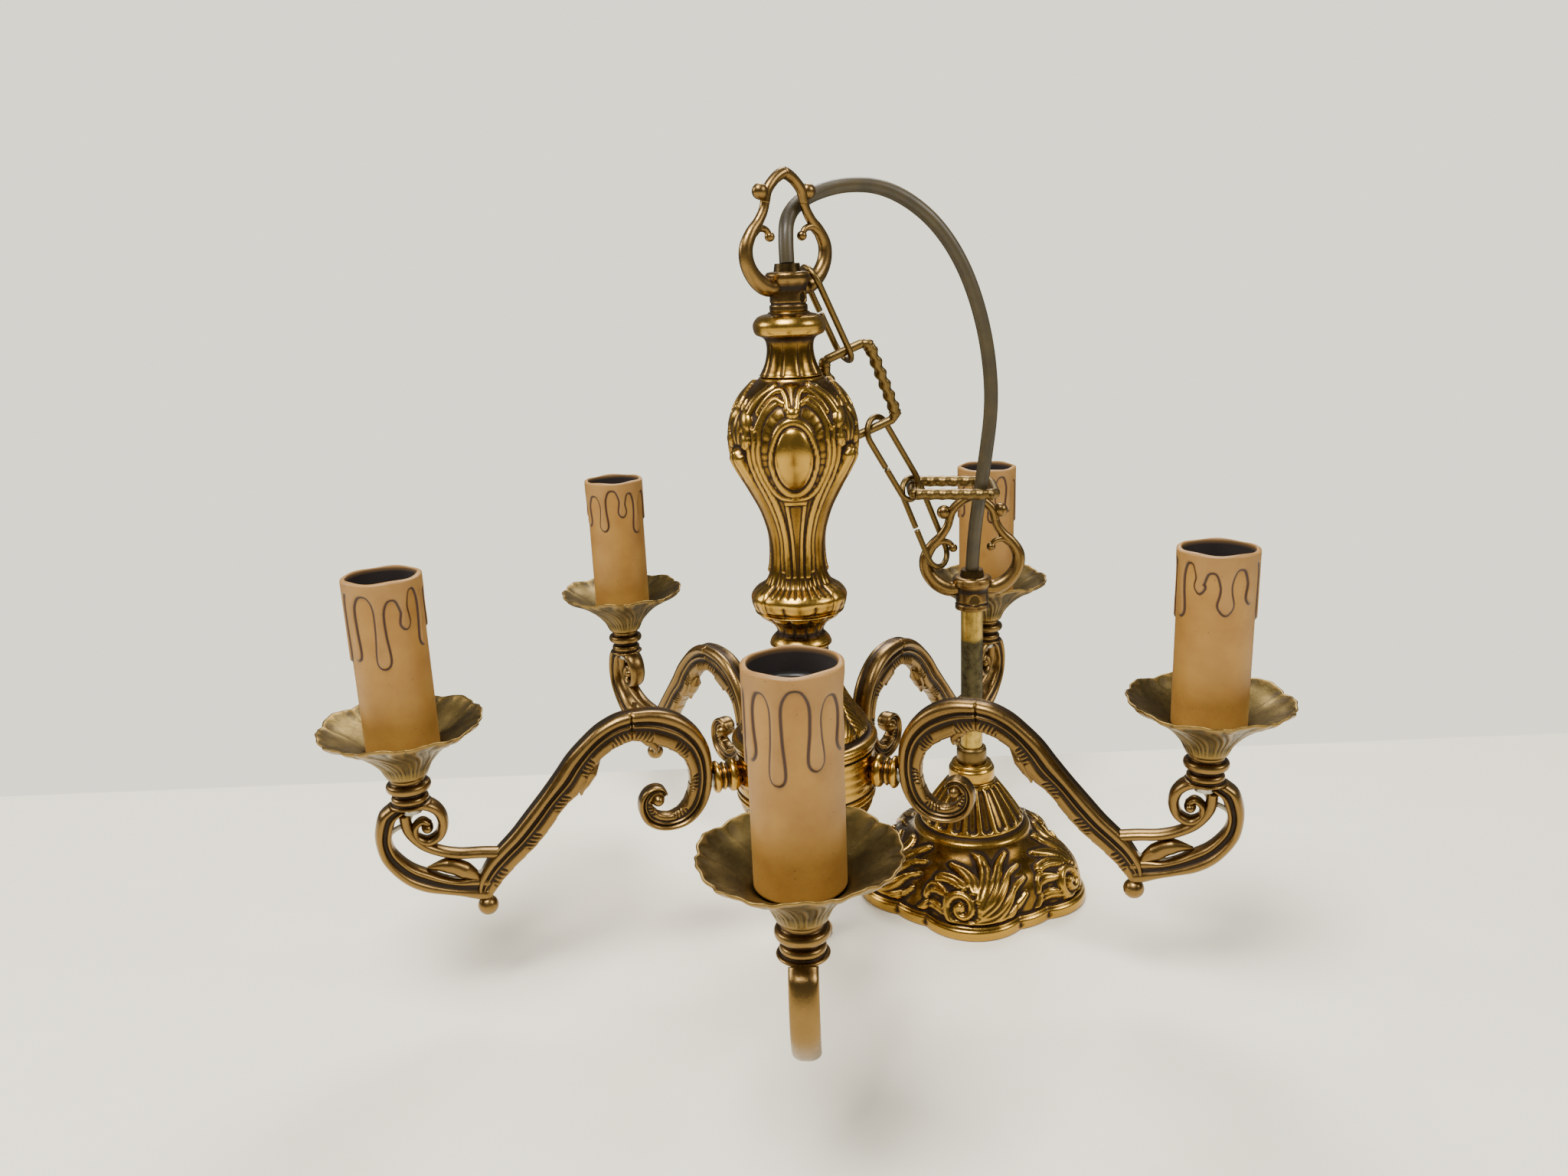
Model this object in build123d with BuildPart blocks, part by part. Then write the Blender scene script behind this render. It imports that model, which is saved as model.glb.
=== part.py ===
from build123d import *
from math import cos, pi, radians, sin, tan
import os

os.makedirs("parts", exist_ok=True)

# Five-arm cast brass chandelier, set down on its bottom finial, with its ceiling canopy standing
# beside it, still joined to the top loop by the flex and the short chain.
# Millimetres, +Z up. The origin is the centre of the finial's flat end, on the stem's axis.

arm_count = 5
first_arm_angle = -91.7      # direction of arm 1 about Z, measured from +X
arm_pitch = 360 / arm_count
fit_gap = 0.3                # between curved faces of pieces that move on each other

# stem, from the bottom up
rod_radius = 4.95            # M10 hollow threaded rod
rod_bore = 3.5
finial_top = 52.0
bowl_top = 71.0
ring_top = 93.0
ring_radius = 30.0
ring_wall = 3.5
dome_top = 137.5
knop_top = 152.0
baluster_top = 247.4
neck_top = 272.1
shell_wall = 2.0

# arms: distances from the stem's axis and heights
arm_axis_height = 82.0
arm_thickness = 9.6
hub_seat = 41.5              # where the arm's root meets its spacer
seam_distance = 74.0         # the inner and outer castings meet at the top of the arch
arch_top = 117.6
cup_distance = 162.6
cup_seat = 103.5
sleeve_base = 115.5
sleeve_top = 185.0
sleeve_radius = 14.0         # outside of a 28 mm candle sleeve
sleeve_wall = 1.0
holder_radius = 11.7
thread_radius = 7.0          # E14 lamp thread

# hanging loops
collar_radius = 7.5
collar_height = 15.0
loop_height = 53.6
loop_thickness = 4.8
top_loop_turn = 42.0
flex_radius = 3.0

# canopy
canopy_x = 77.8
canopy_y = 38.9
canopy_rim = 54.0
canopy_cone_top = 54.6
canopy_collar_top = 62.8
lock_ring_top = 70.2
canopy_loop_base = 136.8

# chain
wire_radius = 1.1
plain_length = 42.2          # between wire centres, end to end
plain_width = 13.0           # between wire centres, side to side
split_gap = 1.2
cast_radius = 1.9
cast_length = 36.0
cast_width = 20.7
cast_corner = 2.0            # inside corner
link_gap = 0.95              # slack between one link's end and the next link's bar

arm_plane = Plane.XZ         # local x runs out from the stem, local y is height


def turned(points):
    """A solid of revolution about Z from (radius, height) points joined by straight lines."""
    with BuildPart() as piece:
        with BuildSketch(Plane.XZ):
            with BuildLine():
                Polyline(*points, close=True)
            make_face()
        revolve(axis=Axis.Z)
    return piece


def moulded(bottom, outside, top):
    """A solid of revolution whose outside is one smooth curve between two flat ends."""
    with BuildPart() as piece:
        with BuildSketch(Plane.XZ):
            with BuildLine():
                Line((bottom, outside[0][1]), outside[0])
                Spline(*outside)
                Line(outside[-1], (top, outside[-1][1]))
                Line((top, outside[-1][1]), (bottom, outside[0][1]))
            make_face()
        revolve(axis=Axis.Z)
    return piece


def keep(piece, name):
    piece.part.label = name
    export_step(piece.part, f"parts/{name}.step")


def arm_angle(index):
    return first_arm_angle + arm_pitch * index


def around_the_hub(shape, name):
    """One node of five alike solids, one at each arm."""
    with BuildPart() as group:
        for index in range(arm_count):
            add(shape.part, rotation=(0, 0, arm_angle(index)))
    keep(group, name)


def at_each_arm(shape, name):
    """The same piece at each arm, each in a node of its own."""
    for index in range(arm_count):
        with BuildPart() as piece:
            add(shape.part, rotation=(0, 0, arm_angle(index)))
        keep(piece, f"{name}_{index + 1}")


# ---------------------------------------------------------------- stem
finial = turned([
    (0, 0), (8.5, 0), (9.5, 2), (8, 4.5), (5.5, 7), (5, 9), (9.5, 13), (13, 18), (14.5, 24),
    (13.5, 30), (9.5, 35), (6.5, 38), (6.5, 41), (11, 45), (14, 49), (14, finial_top),
    (rod_radius, finial_top), (rod_radius, 38), (0, 38),
])
keep(finial, "finial")

bowl_foot = finial_top
bowl_floor = 55.5
hub_bowl = turned([
    (rod_radius, bowl_foot), (16, bowl_foot), (19.5, 54), (24.5, 58), (27, 61.5), (29, 66),
    (ring_radius, 69), (ring_radius, bowl_top), (27, bowl_top), (25, 66), (22, 60.5), (17, 56.5),
    (11, bowl_floor), (rod_radius, bowl_floor),
])
keep(hub_bowl, "hub_bowl")

with BuildPart() as hub_ring:
    with BuildSketch(Plane.XY.offset(bowl_top)):
        Circle(ring_radius)
        Circle(ring_radius - ring_wall, mode=Mode.SUBTRACT)
    extrude(amount=ring_top - bowl_top)
    for index in range(arm_count):
        with BuildSketch(Plane.XZ.rotated((0, 0, arm_angle(index) + 90))):
            with Locations((0, arm_axis_height)):
                Circle(4.0)
        extrude(amount=ring_radius + 2, mode=Mode.SUBTRACT)
keep(hub_ring, "hub_ring")

dome_ceiling = 131.0
hub_dome = turned([
    (31.3, ring_top), (31.3, 96), (27.5, 102), (22, 108), (17.5, 116), (14.5, 124), (12.8, 131),
    (12.6, dome_top), (rod_radius, dome_top), (rod_radius, dome_ceiling), (9.5, dome_ceiling),
    (11.5, 124), (14.5, 115.5), (19, 107), (24, 101), (26.5, ring_top),
])
keep(hub_dome, "hub_dome")

lower_neck = moulded(rod_radius, [
    (12.4, dome_top), (9.7, 141.5), (11.5, 146), (16.6, 149.5), (18.2, knop_top),
], rod_radius)
keep(lower_neck, "lower_neck")

baluster = moulded(rod_radius, [
    (18.4, knop_top), (20, 157.5), (13.4, 162.5), (10.9, 172), (10.9, 184), (14.9, 195), (21.5, 208.5),
    (25.9, 219), (24.9, 229), (20.5, 239), (14.5, 245.5), (12.3, baluster_top),
], rod_radius)
keep(baluster, "baluster")

upper_neck = moulded(rod_radius, [
    (12.2, baluster_top), (10.4, 252), (9.4, 258), (10.8, 262), (14.3, 266.5), (12.5, 270.5),
    (7.6, neck_top),
], rod_radius)
keep(upper_neck, "upper_neck")

rod_top = neck_top + 9.0
stem_rod = turned([
    (rod_bore, 40), (rod_radius, 40), (rod_radius, rod_top), (rod_bore, rod_top),
])
keep(stem_rod, "stem_rod")

nut_height = 5.0
nut_seats = [bowl_floor, dome_ceiling - nut_height]
with BuildPart() as stem_nuts:
    for seat in nut_seats:
        with BuildSketch(Plane.XY.offset(seat)):
            RegularPolygon(8.5, 6)
            Circle(rod_radius, mode=Mode.SUBTRACT)
        extrude(amount=nut_height)
keep(stem_nuts, "stem_nuts")

with BuildPart() as terminal_block:
    with Locations((0, 14.5, 94)):
        Box(22, 10, 8)
    with Locations((-6, 14.5, 98), (0, 14.5, 98), (6, 14.5, 98)):
        Cylinder(1.4, 5, mode=Mode.SUBTRACT)
keep(terminal_block, "terminal_block")


# ---------------------------------------------------------------- hanging loops
# A lyre of flat-cast brass on a round collar; the rod screws into the collar and a radial
# set screw holds it. Local x is along the loop, local y is height above the collar's foot.
lyre_half = [
    (6, 10.6), (13.6, 11.6), (20.2, 17.2), (20.4, 24), (15.8, 31.4), (10.8, 37.6), (9.7, 41.6),
]
lyre_arch = [(9.7, 41.0), (6.4, 47.6), (0, loop_height - 2.4)]
lyre_curl = [(16.4, 30.6), (12.6, 31.0), (9.2, 28.6)]
outer_ball = (12.4, 44.3)
inner_ball = (8.6, 28.3)
screw_height = 5.2
screw_radius = 2.0


def hanging_loop(base, turn, screw_turn):
    collar_axis = Plane(origin=base, x_dir=(cos(radians(turn)), sin(radians(turn)), 0), z_dir=(0, 0, 1))
    upright = Plane(
        origin=base,
        x_dir=collar_axis.x_dir,
        z_dir=collar_axis.x_dir.cross(Vector(0, 0, 1)),
    )
    screw_dir = Vector(cos(radians(screw_turn)), sin(radians(screw_turn)), 0)
    with BuildPart() as loop:
        with BuildSketch(upright):
            for side in (1, -1):
                for points, width in ((lyre_half, 5.0), (lyre_arch, 4.6), (lyre_curl, 2.6)):
                    with BuildLine() as strand:
                        Spline(*[(side * x, y) for x, y in points])
                    trace(strand.line, line_width=width)
                with Locations((side * outer_ball[0], outer_ball[1])):
                    Circle(3.3)
                with Locations((side * inner_ball[0], inner_ball[1])):
                    Circle(2.1)
        extrude(amount=loop_thickness / 2, both=True)
        with BuildSketch(collar_axis):
            Circle(collar_radius)
        extrude(amount=collar_height)
        with BuildSketch(collar_axis):
            Circle(rod_radius)
        extrude(amount=collar_height, mode=Mode.SUBTRACT)
        with BuildSketch(Plane(origin=Vector(*base) + Vector(0, 0, screw_height), z_dir=screw_dir)):
            Circle(screw_radius)
        extrude(amount=collar_radius + 2, mode=Mode.SUBTRACT)
    return loop


def set_screw(base, screw_turn):
    screw_dir = Vector(cos(radians(screw_turn)), sin(radians(screw_turn)), 0)
    start = Vector(*base) + Vector(0, 0, screw_height) + screw_dir * rod_radius
    with BuildPart() as screw:
        with BuildSketch(Plane(origin=start, z_dir=screw_dir)):
            Circle(screw_radius)
        extrude(amount=1.6)
    return screw


top_loop_base = (0, 0, neck_top)
canopy_axis = (canopy_x, canopy_y, 0)
canopy_loop_foot = (canopy_x, canopy_y, canopy_loop_base)
top_screw_turn = -35.0
canopy_screw_turn = -90.0

top_loop = hanging_loop(top_loop_base, top_loop_turn, top_screw_turn)
keep(top_loop, "top_loop")

canopy_loop = hanging_loop(canopy_loop_foot, 0.0, canopy_screw_turn)
keep(canopy_loop, "canopy_loop")

top_screw = set_screw(top_loop_base, top_screw_turn)
canopy_screw = set_screw(canopy_loop_foot, canopy_screw_turn)
with BuildPart() as loop_set_screws:
    add(top_screw.part)
    add(canopy_screw.part)
keep(loop_set_screws, "loop_set_screws")

# flanged bushings in the mouths of the two collars; the flex leaves through them
bushing_height = 3.0
with BuildPart() as flex_bushings:
    for x, y, z in (top_loop_base, canopy_loop_foot):
        seat = z + collar_height
        with BuildSketch(Plane(origin=(x, y, seat - 4))):
            Circle(rod_radius)
        extrude(amount=4)
        with BuildSketch(Plane(origin=(x, y, seat))):
            Circle(5.4)
        extrude(amount=bushing_height, taper=10)
        with BuildSketch(Plane(origin=(x, y, seat - 4))):
            Circle(flex_radius)
        extrude(amount=4 + bushing_height, mode=Mode.SUBTRACT)
keep(flex_bushings, "flex_bushings")
flex_exit = collar_height + bushing_height

# the flex inside the two rods: down the stem into the hub, and down into the canopy
with BuildPart() as inner_flex:
    with BuildSketch(Plane.XY.offset(112)):
        Circle(flex_radius)
    extrude(amount=neck_top + flex_exit - 112)
    with BuildSketch(Plane(origin=(canopy_x, canopy_y, 14))):
        Circle(flex_radius)
    extrude(amount=canopy_loop_base + flex_exit - 14)
keep(inner_flex, "inner_flex")


# ---------------------------------------------------------------- canopy
canopy_rod_top = canopy_loop_base + 9.0
ceiling_thread = 12.0        # the end that the ceiling bracket's nut takes, above it a relief groove
relief_radius = 4.4
relief_width = 1.5
with BuildPart() as canopy_rod:
    with BuildSketch(Plane(origin=canopy_axis)):
        Circle(rod_radius)
        Circle(rod_bore, mode=Mode.SUBTRACT)
    extrude(amount=canopy_rod_top)
    with BuildSketch(Plane(origin=(canopy_x, canopy_y, ceiling_thread))):
        Circle(rod_radius + 1)
        Circle(relief_radius, mode=Mode.SUBTRACT)
    extrude(amount=relief_width, mode=Mode.SUBTRACT)
keep(canopy_rod, "canopy_rod")

canopy_bore = rod_radius + fit_gap
lobe_count = 5
first_lobe_angle = -98.0
bell_wall = 1.8
bell_outside = [
    (canopy_rim, 0), (canopy_rim, 4.5), (51, 8), (48.5, 17.5), (43, 21.5), (33, 25.5), (27.9, 29.7),
    (25.6, 33), (24.2, 36), (18.5, 44), (13, 51.5), (10.6, canopy_cone_top),
]


def canopy_body(inset):
    """The bell's outside, or its cavity when inset is the wall's thickness."""
    profile = [(r - inset, z - (inset if z > 5 else 0)) for r, z in bell_outside]
    bell = turned(profile + [(0, profile[-1][1]), (0, 0)])
    with BuildPart() as body:
        add(bell.part)
        with BuildSketch():
            Circle(46.5 - inset)
            with PolarLocations(canopy_rim - 25, lobe_count, start_angle=first_lobe_angle):
                Circle(25 - inset)
        extrude(amount=canopy_cone_top, mode=Mode.INTERSECT)
    return body


bell_solid = canopy_body(0)
bell_cavity = canopy_body(bell_wall)
with BuildPart() as canopy_bell:
    with Locations(canopy_axis):
        add(bell_solid.part)
        add(bell_cavity.part, mode=Mode.SUBTRACT)
        Cylinder(canopy_bore, 200, mode=Mode.SUBTRACT)
keep(canopy_bell, "canopy_bell")


def sleeve_on_rod(radius, low, high):
    with BuildPart() as piece:
        with BuildSketch(Plane(origin=(canopy_x, canopy_y, low))):
            Circle(radius)
            Circle(canopy_bore, mode=Mode.SUBTRACT)
        extrude(amount=high - low)
    return piece


canopy_collar = sleeve_on_rod(10.5, canopy_cone_top, canopy_collar_top)
keep(canopy_collar, "canopy_collar")
lock_ring = sleeve_on_rod(6.9, canopy_collar_top, lock_ring_top)
keep(lock_ring, "lock_ring")


# ---------------------------------------------------------------- arms
# Each arm is two castings pinned together at the top of the arch. All the shapes below stand in
# the arm's own plane, along +X, and are turned to their places at the end.
nipple_reach = 2.5           # how far the hub nipple screws into the arm
nipple_radius = 4.0
nipple_bore = 2.4
nipple_hole = 4.05           # in the pieces that the cup nipple joins
wire_radius_inside = 1.0
channel_radius = 1.4
wire_points = [
    (22, arm_axis_height), (46.6, arm_axis_height), (47.4, 95), (56.5, 107.3), (seam_distance, 111.6),
    (88.4, 107), (99.6, 95.8), (124, 66.3), (136, 57.4), (150, 55.3), (163, 61), (172.6, 70.5),
    (173.4, 80), (cup_distance, 84.5), (cup_distance, 109),
]


def wire_run(radius):
    """A round run through the arm, straight lengths joined by tangent arcs."""
    radii = []
    for before, corner, after in zip(wire_points, wire_points[1:], wire_points[2:]):
        first = Vector(*corner) - Vector(*before)
        second = Vector(*after) - Vector(*corner)
        half_turn = radians(first.get_angle(second)) / 2
        radii.append(0.45 * min(first.length, second.length) / tan(half_turn))
    with BuildPart() as run:
        with BuildLine(arm_plane) as path:
            FilletPolyline(*wire_points, radius=radii)
        with BuildSketch(path.line ^ 0):
            Circle(radius)
        sweep()
    return run


wire_channel = wire_run(channel_radius)
arm_wire = wire_run(wire_radius_inside)
with BuildPart() as arm_pin:
    with BuildSketch(Plane.YZ.offset(seam_distance - 5)):
        with Locations((0, 107.4)):
            Circle(1.2)
    extrude(amount=10)

inner_outside = [
    (seam_distance, arch_top), (63, 116.2), (51.8, 111), (44.4, 101.5), (41.5, 88), (42.2, 76.5),
    (48.2, 67), (59.5, 62.2), (70, 65.6), (73.5, 74), (71.5, 81),
]
inner_inside = [
    (68, 75.5), (65.6, 71.2), (60, 69.2), (54, 73), (51.4, 82), (53.2, 93), (61, 101.5),
    (seam_distance, 105),
]
with BuildPart() as arm_inner:
    with BuildSketch(arm_plane):
        with BuildLine():
            Spline(*inner_outside)
            Line(inner_outside[-1], inner_inside[0])
            Spline(*inner_inside)
            Line(inner_inside[-1], inner_outside[0])
        make_face()
        with Locations((66.6, 78.3)):
            Circle(5.2)
    extrude(amount=arm_thickness / 2, both=True)
    with BuildSketch(Plane.YZ.offset(hub_seat)):
        with Locations((0, arm_axis_height)):
            Circle(6.8)
    extrude(amount=6)
    with BuildSketch(arm_plane):
        with Locations((hub_seat - 5, arm_axis_height)):
            Rectangle(10, 40)
    extrude(amount=arm_thickness, both=True, mode=Mode.SUBTRACT)
    with BuildSketch(Plane.YZ.offset(hub_seat)):
        with Locations((0, arm_axis_height)):
            Circle(nipple_radius)
    extrude(amount=nipple_reach, mode=Mode.SUBTRACT)
    add(wire_channel.part, mode=Mode.SUBTRACT)
    add(arm_pin.part, mode=Mode.SUBTRACT)

slope_line = [(seam_distance, 111.3), (88, 107.2), (99.5, 96), (112.5, 79.5), (124, 66), (135, 55.5)]
lower_scroll = [(131, 57), (147, 54.2), (162, 60), (172.6, 69.5), (174.2, 80), (168, 89.5)]
upper_strand = [(131, 65.4), (149, 68.6), (160.5, 74), (166.3, 84), (166.3, 90)]
scroll_leaf = [(143, 57), (152, 61.5), (160, 63.5)]
foot_line = [(134.5, 58), (136.5, 50), (137.6, 43)]
with BuildPart() as arm_outer:
    with BuildSketch(arm_plane):
        for points, width in (
            (slope_line, 12.4),
            (lower_scroll, 6.6),
            (upper_strand, 3.6),
            (scroll_leaf, 5.0),
            (foot_line, 6.5),
        ):
            with BuildLine() as band:
                Spline(*points)
            trace(band.line, line_width=width)
        with Locations((137.6, 42.4)):
            Circle(4.3)
        with Locations((157.6, 83.6)):
            Circle(5.6)
        with Locations((cup_distance, 89.5)):
            Rectangle(14.5, 5)
    extrude(amount=arm_thickness / 2, both=True)
    with BuildSketch(Plane(origin=(cup_distance, 0, 85))):
        Circle(nipple_hole)
    extrude(amount=10, mode=Mode.SUBTRACT)
    with BuildSketch(arm_plane):
        with Locations((seam_distance - 15, 100)):
            Rectangle(30, 60)
    extrude(amount=arm_thickness, both=True, mode=Mode.SUBTRACT)
    add(wire_channel.part, mode=Mode.SUBTRACT)
    add(arm_pin.part, mode=Mode.SUBTRACT)

at_each_arm(arm_inner, "arm_inner")
at_each_arm(arm_outer, "arm_outer")
around_the_hub(arm_wire, "arm_wires")
around_the_hub(arm_pin, "arm_pins")

# beaded spacers between the hub ring and the arms, seated on the ring's curve
spacer_beads = [
    (28, 5.2), (31.2, 5.2), (31.8, 6.9), (33.6, 7.1), (34.8, 6), (35.6, 5.6), (36.4, 6), (37.4, 7),
    (39.4, 7), (40.4, 6), (hub_seat, 5.8),
]
with BuildPart() as arm_spacer:
    with BuildSketch(arm_plane):
        with BuildLine():
            Polyline(
                (28, arm_axis_height + nipple_radius),
                *[(x, arm_axis_height + r) for x, r in spacer_beads],
                (hub_seat, arm_axis_height + nipple_radius),
                close=True,
            )
        make_face()
    revolve(axis=Axis((0, 0, arm_axis_height), (1, 0, 0)))
    with BuildSketch(Plane.XY.offset(bowl_top)):
        Circle(ring_radius)
    extrude(amount=ring_top - bowl_top, mode=Mode.SUBTRACT)
around_the_hub(arm_spacer, "arm_spacers")

nipple_start = 20.0
with BuildPart() as arm_nipple:
    with BuildSketch(Plane.YZ.offset(nipple_start)):
        with Locations((0, arm_axis_height)):
            Circle(nipple_radius)
            Circle(nipple_bore, mode=Mode.SUBTRACT)
    extrude(amount=hub_seat + nipple_reach - nipple_start)
around_the_hub(arm_nipple, "arm_nipples")

with BuildPart() as arm_nut:
    with BuildSketch(Plane.YZ.offset(nipple_start + 1.2)):
        with Locations((0, arm_axis_height)):
            RegularPolygon(6.6, 6)
            Circle(nipple_radius, mode=Mode.SUBTRACT)
    extrude(amount=3.2)
around_the_hub(arm_nut, "arm_nuts")


# ---------------------------------------------------------------- cups, holders and candle sleeves
def at_the_cup(points):
    """A turned piece on the cup's axis, at the end of the arm that lies along +X."""
    centred = turned(points)
    with BuildPart() as piece:
        with Locations((cup_distance, 0, 0)):
            add(centred.part)
    return piece


cup_collar = at_the_cup([
    (nipple_radius, 92), (5.6, 92), (7.1, 92.8), (7.3, 94.4), (6.6, 96), (5.6, 96.8), (6.6, 97.6),
    (8.4, 98.6), (8.6, 100.4), (7.8, 102.2), (6.4, 103), (6.4, cup_seat), (nipple_radius, cup_seat),
])
around_the_hub(cup_collar, "cup_collars")

drip_cup = at_the_cup([
    (nipple_radius, cup_seat), (7.6, cup_seat), (8.4, 105), (10.5, 109), (15.5, 114.5), (22, 119.6),
    (29, 124.2), (31.5, 126.2), (31.3, 127), (29, 126), (21.5, 121.4), (14.8, 116.2), (9.6, 110.6),
    (7.5, 107), (nipple_radius, 106.4),
])
at_each_arm(drip_cup, "drip_cup")

holder_base = 109.4
holder_top = 178.0
thread_end = 157.5
contact_floor = 155.0
contact_recess = 5.5
lampholder = at_the_cup([
    (0, holder_base + 4), (nipple_hole, holder_base + 4), (nipple_hole, holder_base),
    (8.2, holder_base), (8.2, 116), (6.5, 118), (6.5, 140), (holder_radius, 143),
    (holder_radius, holder_top), (thread_radius, holder_top), (thread_radius, thread_end),
    (contact_recess, thread_end), (contact_recess, contact_floor), (0, contact_floor),
])
at_each_arm(lampholder, "lampholder")

with BuildPart() as lamp_contact:
    with Locations((cup_distance, 0, contact_floor + 1)):
        Box(9, 3, 2)
around_the_hub(lamp_contact, "lamp_contacts")

with BuildPart() as cup_nipple:
    with BuildSketch(Plane(origin=(cup_distance, 0, 88))):
        Circle(nipple_radius)
        Circle(nipple_bore, mode=Mode.SUBTRACT)
    extrude(amount=holder_base + 4 - 88)
around_the_hub(cup_nipple, "cup_nipples")

sleeve_bore = sleeve_radius - sleeve_wall
candle_sleeve = at_the_cup([
    (sleeve_bore, sleeve_base), (sleeve_radius, sleeve_base + 0.6), (sleeve_radius, 158),
    (sleeve_radius + 0.8, 162), (sleeve_radius + 0.8, 183), (sleeve_radius + 0.2, sleeve_top),
    (sleeve_bore, sleeve_top),
])
at_each_arm(candle_sleeve, "candle_sleeve")


# ---------------------------------------------------------------- chain
# Plain split links and cast ornate links by turns, from the crook of the top loop to the left
# side of the canopy's loop. Each link has the direction of its length and its twist about that
# direction, from face-on to the front.
chain_links = [
    ("plain", (0.387, 0.255, -0.886), -72),
    ("cast", (0.347, 0.235, -0.908), 4),
    ("plain", (0.467, 0.276, -0.840), 43),
    ("cast", (0.998, -0.050, -0.030), 85),
    ("plain", (0.360, -0.010, -0.933), 45),
]
hook_radial = 12.4           # where the first link sits on the top loop
hook_height = neck_top + 11.6
hook_point = Vector(
    hook_radial * cos(radians(top_loop_turn)),
    hook_radial * sin(radians(top_loop_turn)),
    hook_height,
)
hook_clearance = 3.0 + wire_radius + link_gap
bar_clearance = cast_radius + wire_radius + link_gap
bar_shift = Vector(0, 2.9, 0)            # the third link sits on the near half of the fourth's bar
last_link_shift = Vector(0, 1.0, 0)      # and the last link on its far half


def link_plane(start, length, direction, twist):
    along = Vector(*direction).normalized()
    depth = (Vector(0, 1, 0) - along * along.dot(Vector(0, 1, 0))).normalized()
    across = along.cross(depth)
    width = across * cos(radians(twist)) + depth * sin(radians(twist))
    return Plane(origin=start + along * (length / 2), x_dir=along, z_dir=along.cross(width))


def plain_link(plane):
    straight = (plain_length - plain_width) / 2
    side = plain_width / 2
    end = plain_length / 2
    with BuildPart() as link:
        with BuildLine(plane) as path:
            Line((split_gap / 2, -side), (straight, -side))
            ThreePointArc((straight, -side), (end, 0), (straight, side))
            Line((straight, side), (-straight, side))
            ThreePointArc((-straight, side), (-end, 0), (-straight, -side))
            Line((-straight, -side), (-split_gap / 2, -side))
        with BuildSketch(path.line ^ 0):
            Circle(wire_radius)
        sweep()
    return link


def cast_link(plane):
    with BuildPart() as link:
        with BuildSketch(plane):
            RectangleRounded(
                cast_length + 2 * cast_radius,
                cast_width + 2 * cast_radius,
                cast_corner + 2 * cast_radius,
            )
            RectangleRounded(
                cast_length - 2 * cast_radius,
                cast_width - 2 * cast_radius,
                cast_corner,
                mode=Mode.SUBTRACT,
            )
        extrude(amount=cast_radius, both=True)
        chamfer(link.faces().filter_by(GeomType.PLANE).edges(), 0.6)
    return link


start = hook_point - Vector(*chain_links[0][1]).normalized() * hook_clearance
for number, (kind, direction, twist) in enumerate(chain_links, 1):
    along = Vector(*direction).normalized()
    if number == 4:
        bar = end_bar - Vector(*chain_links[2][1]).normalized() * bar_clearance + bar_shift
        start = bar
    elif number == 5:
        start = bar + last_link_shift - along * bar_clearance
    elif number > 1:
        start = end_bar - along * bar_clearance
    length = plain_length if kind == "plain" else cast_length
    plane = link_plane(start, length, direction, twist)
    link = plain_link(plane) if kind == "plain" else cast_link(plane)
    end_bar = start + along * length
    print(f"chain_link_{number} from", start, "to", end_bar)
    keep(link, f"chain_link_{number}")


# ---------------------------------------------------------------- flex
# Round flex from the top loop's bushing, over in a stiff arch behind the loop's right strand,
# down in front of the canopy loop's tip and into the canopy's bushing.
flex_points = [
    (0, 0, neck_top + flex_exit),
    (-0.3, 1.4, 299.8),
    (0.9, 7.6, 307.8),
    (6.4, 14.8, 313.6),
    (15.6, 19.2, 317.4),
    (26.6, 21.4, 319.2),
    (38.6, 23.8, 318.0),
    (50.6, 26.2, 312.2),
    (62.0, 28.4, 302.4),
    (71.8, 30.2, 288.0),
    (79.0, 31.4, 270.0),
    (83.6, 32.0, 249.5),
    (85.0, 31.8, 228.0),
    (82.2, 31.2, 206.0),
    (79.4, 32.4, 185.5),
    (78.2, 36.6, 169.5),
    (canopy_x, canopy_y, canopy_loop_base + flex_exit),
]
flex_radii = []
for before, corner, after in zip(flex_points, flex_points[1:], flex_points[2:]):
    first = Vector(*corner) - Vector(*before)
    second = Vector(*after) - Vector(*corner)
    turn = first.get_angle(second)
    radius = 0.45 * min(first.length, second.length) / tan(radians(turn) / 2)
    flex_radii.append(radius)
    print(f"flex run {first.length:.1f} then {second.length:.1f}, turn {turn:.1f}, radius {radius:.1f}")

with BuildPart() as supply_flex:
    with BuildLine() as flex_path:
        FilletPolyline(*flex_points, radius=flex_radii)
    with BuildSketch(flex_path.line ^ 0):
        Circle(flex_radius)
    sweep()
keep(supply_flex, "supply_flex")
flex_length = sum(edge.length for edge in flex_path.edges())
section = pi * flex_radius**2
flex_fill = supply_flex.part.volume / (section * flex_length)
print(f"flex length {flex_length:.1f}, volume {flex_fill:.4f} of section x length")
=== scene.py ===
from math import cos, pi, radians, sin, tau

import bmesh
import bpy
import numpy as np
from mathutils import Matrix, Vector


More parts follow.
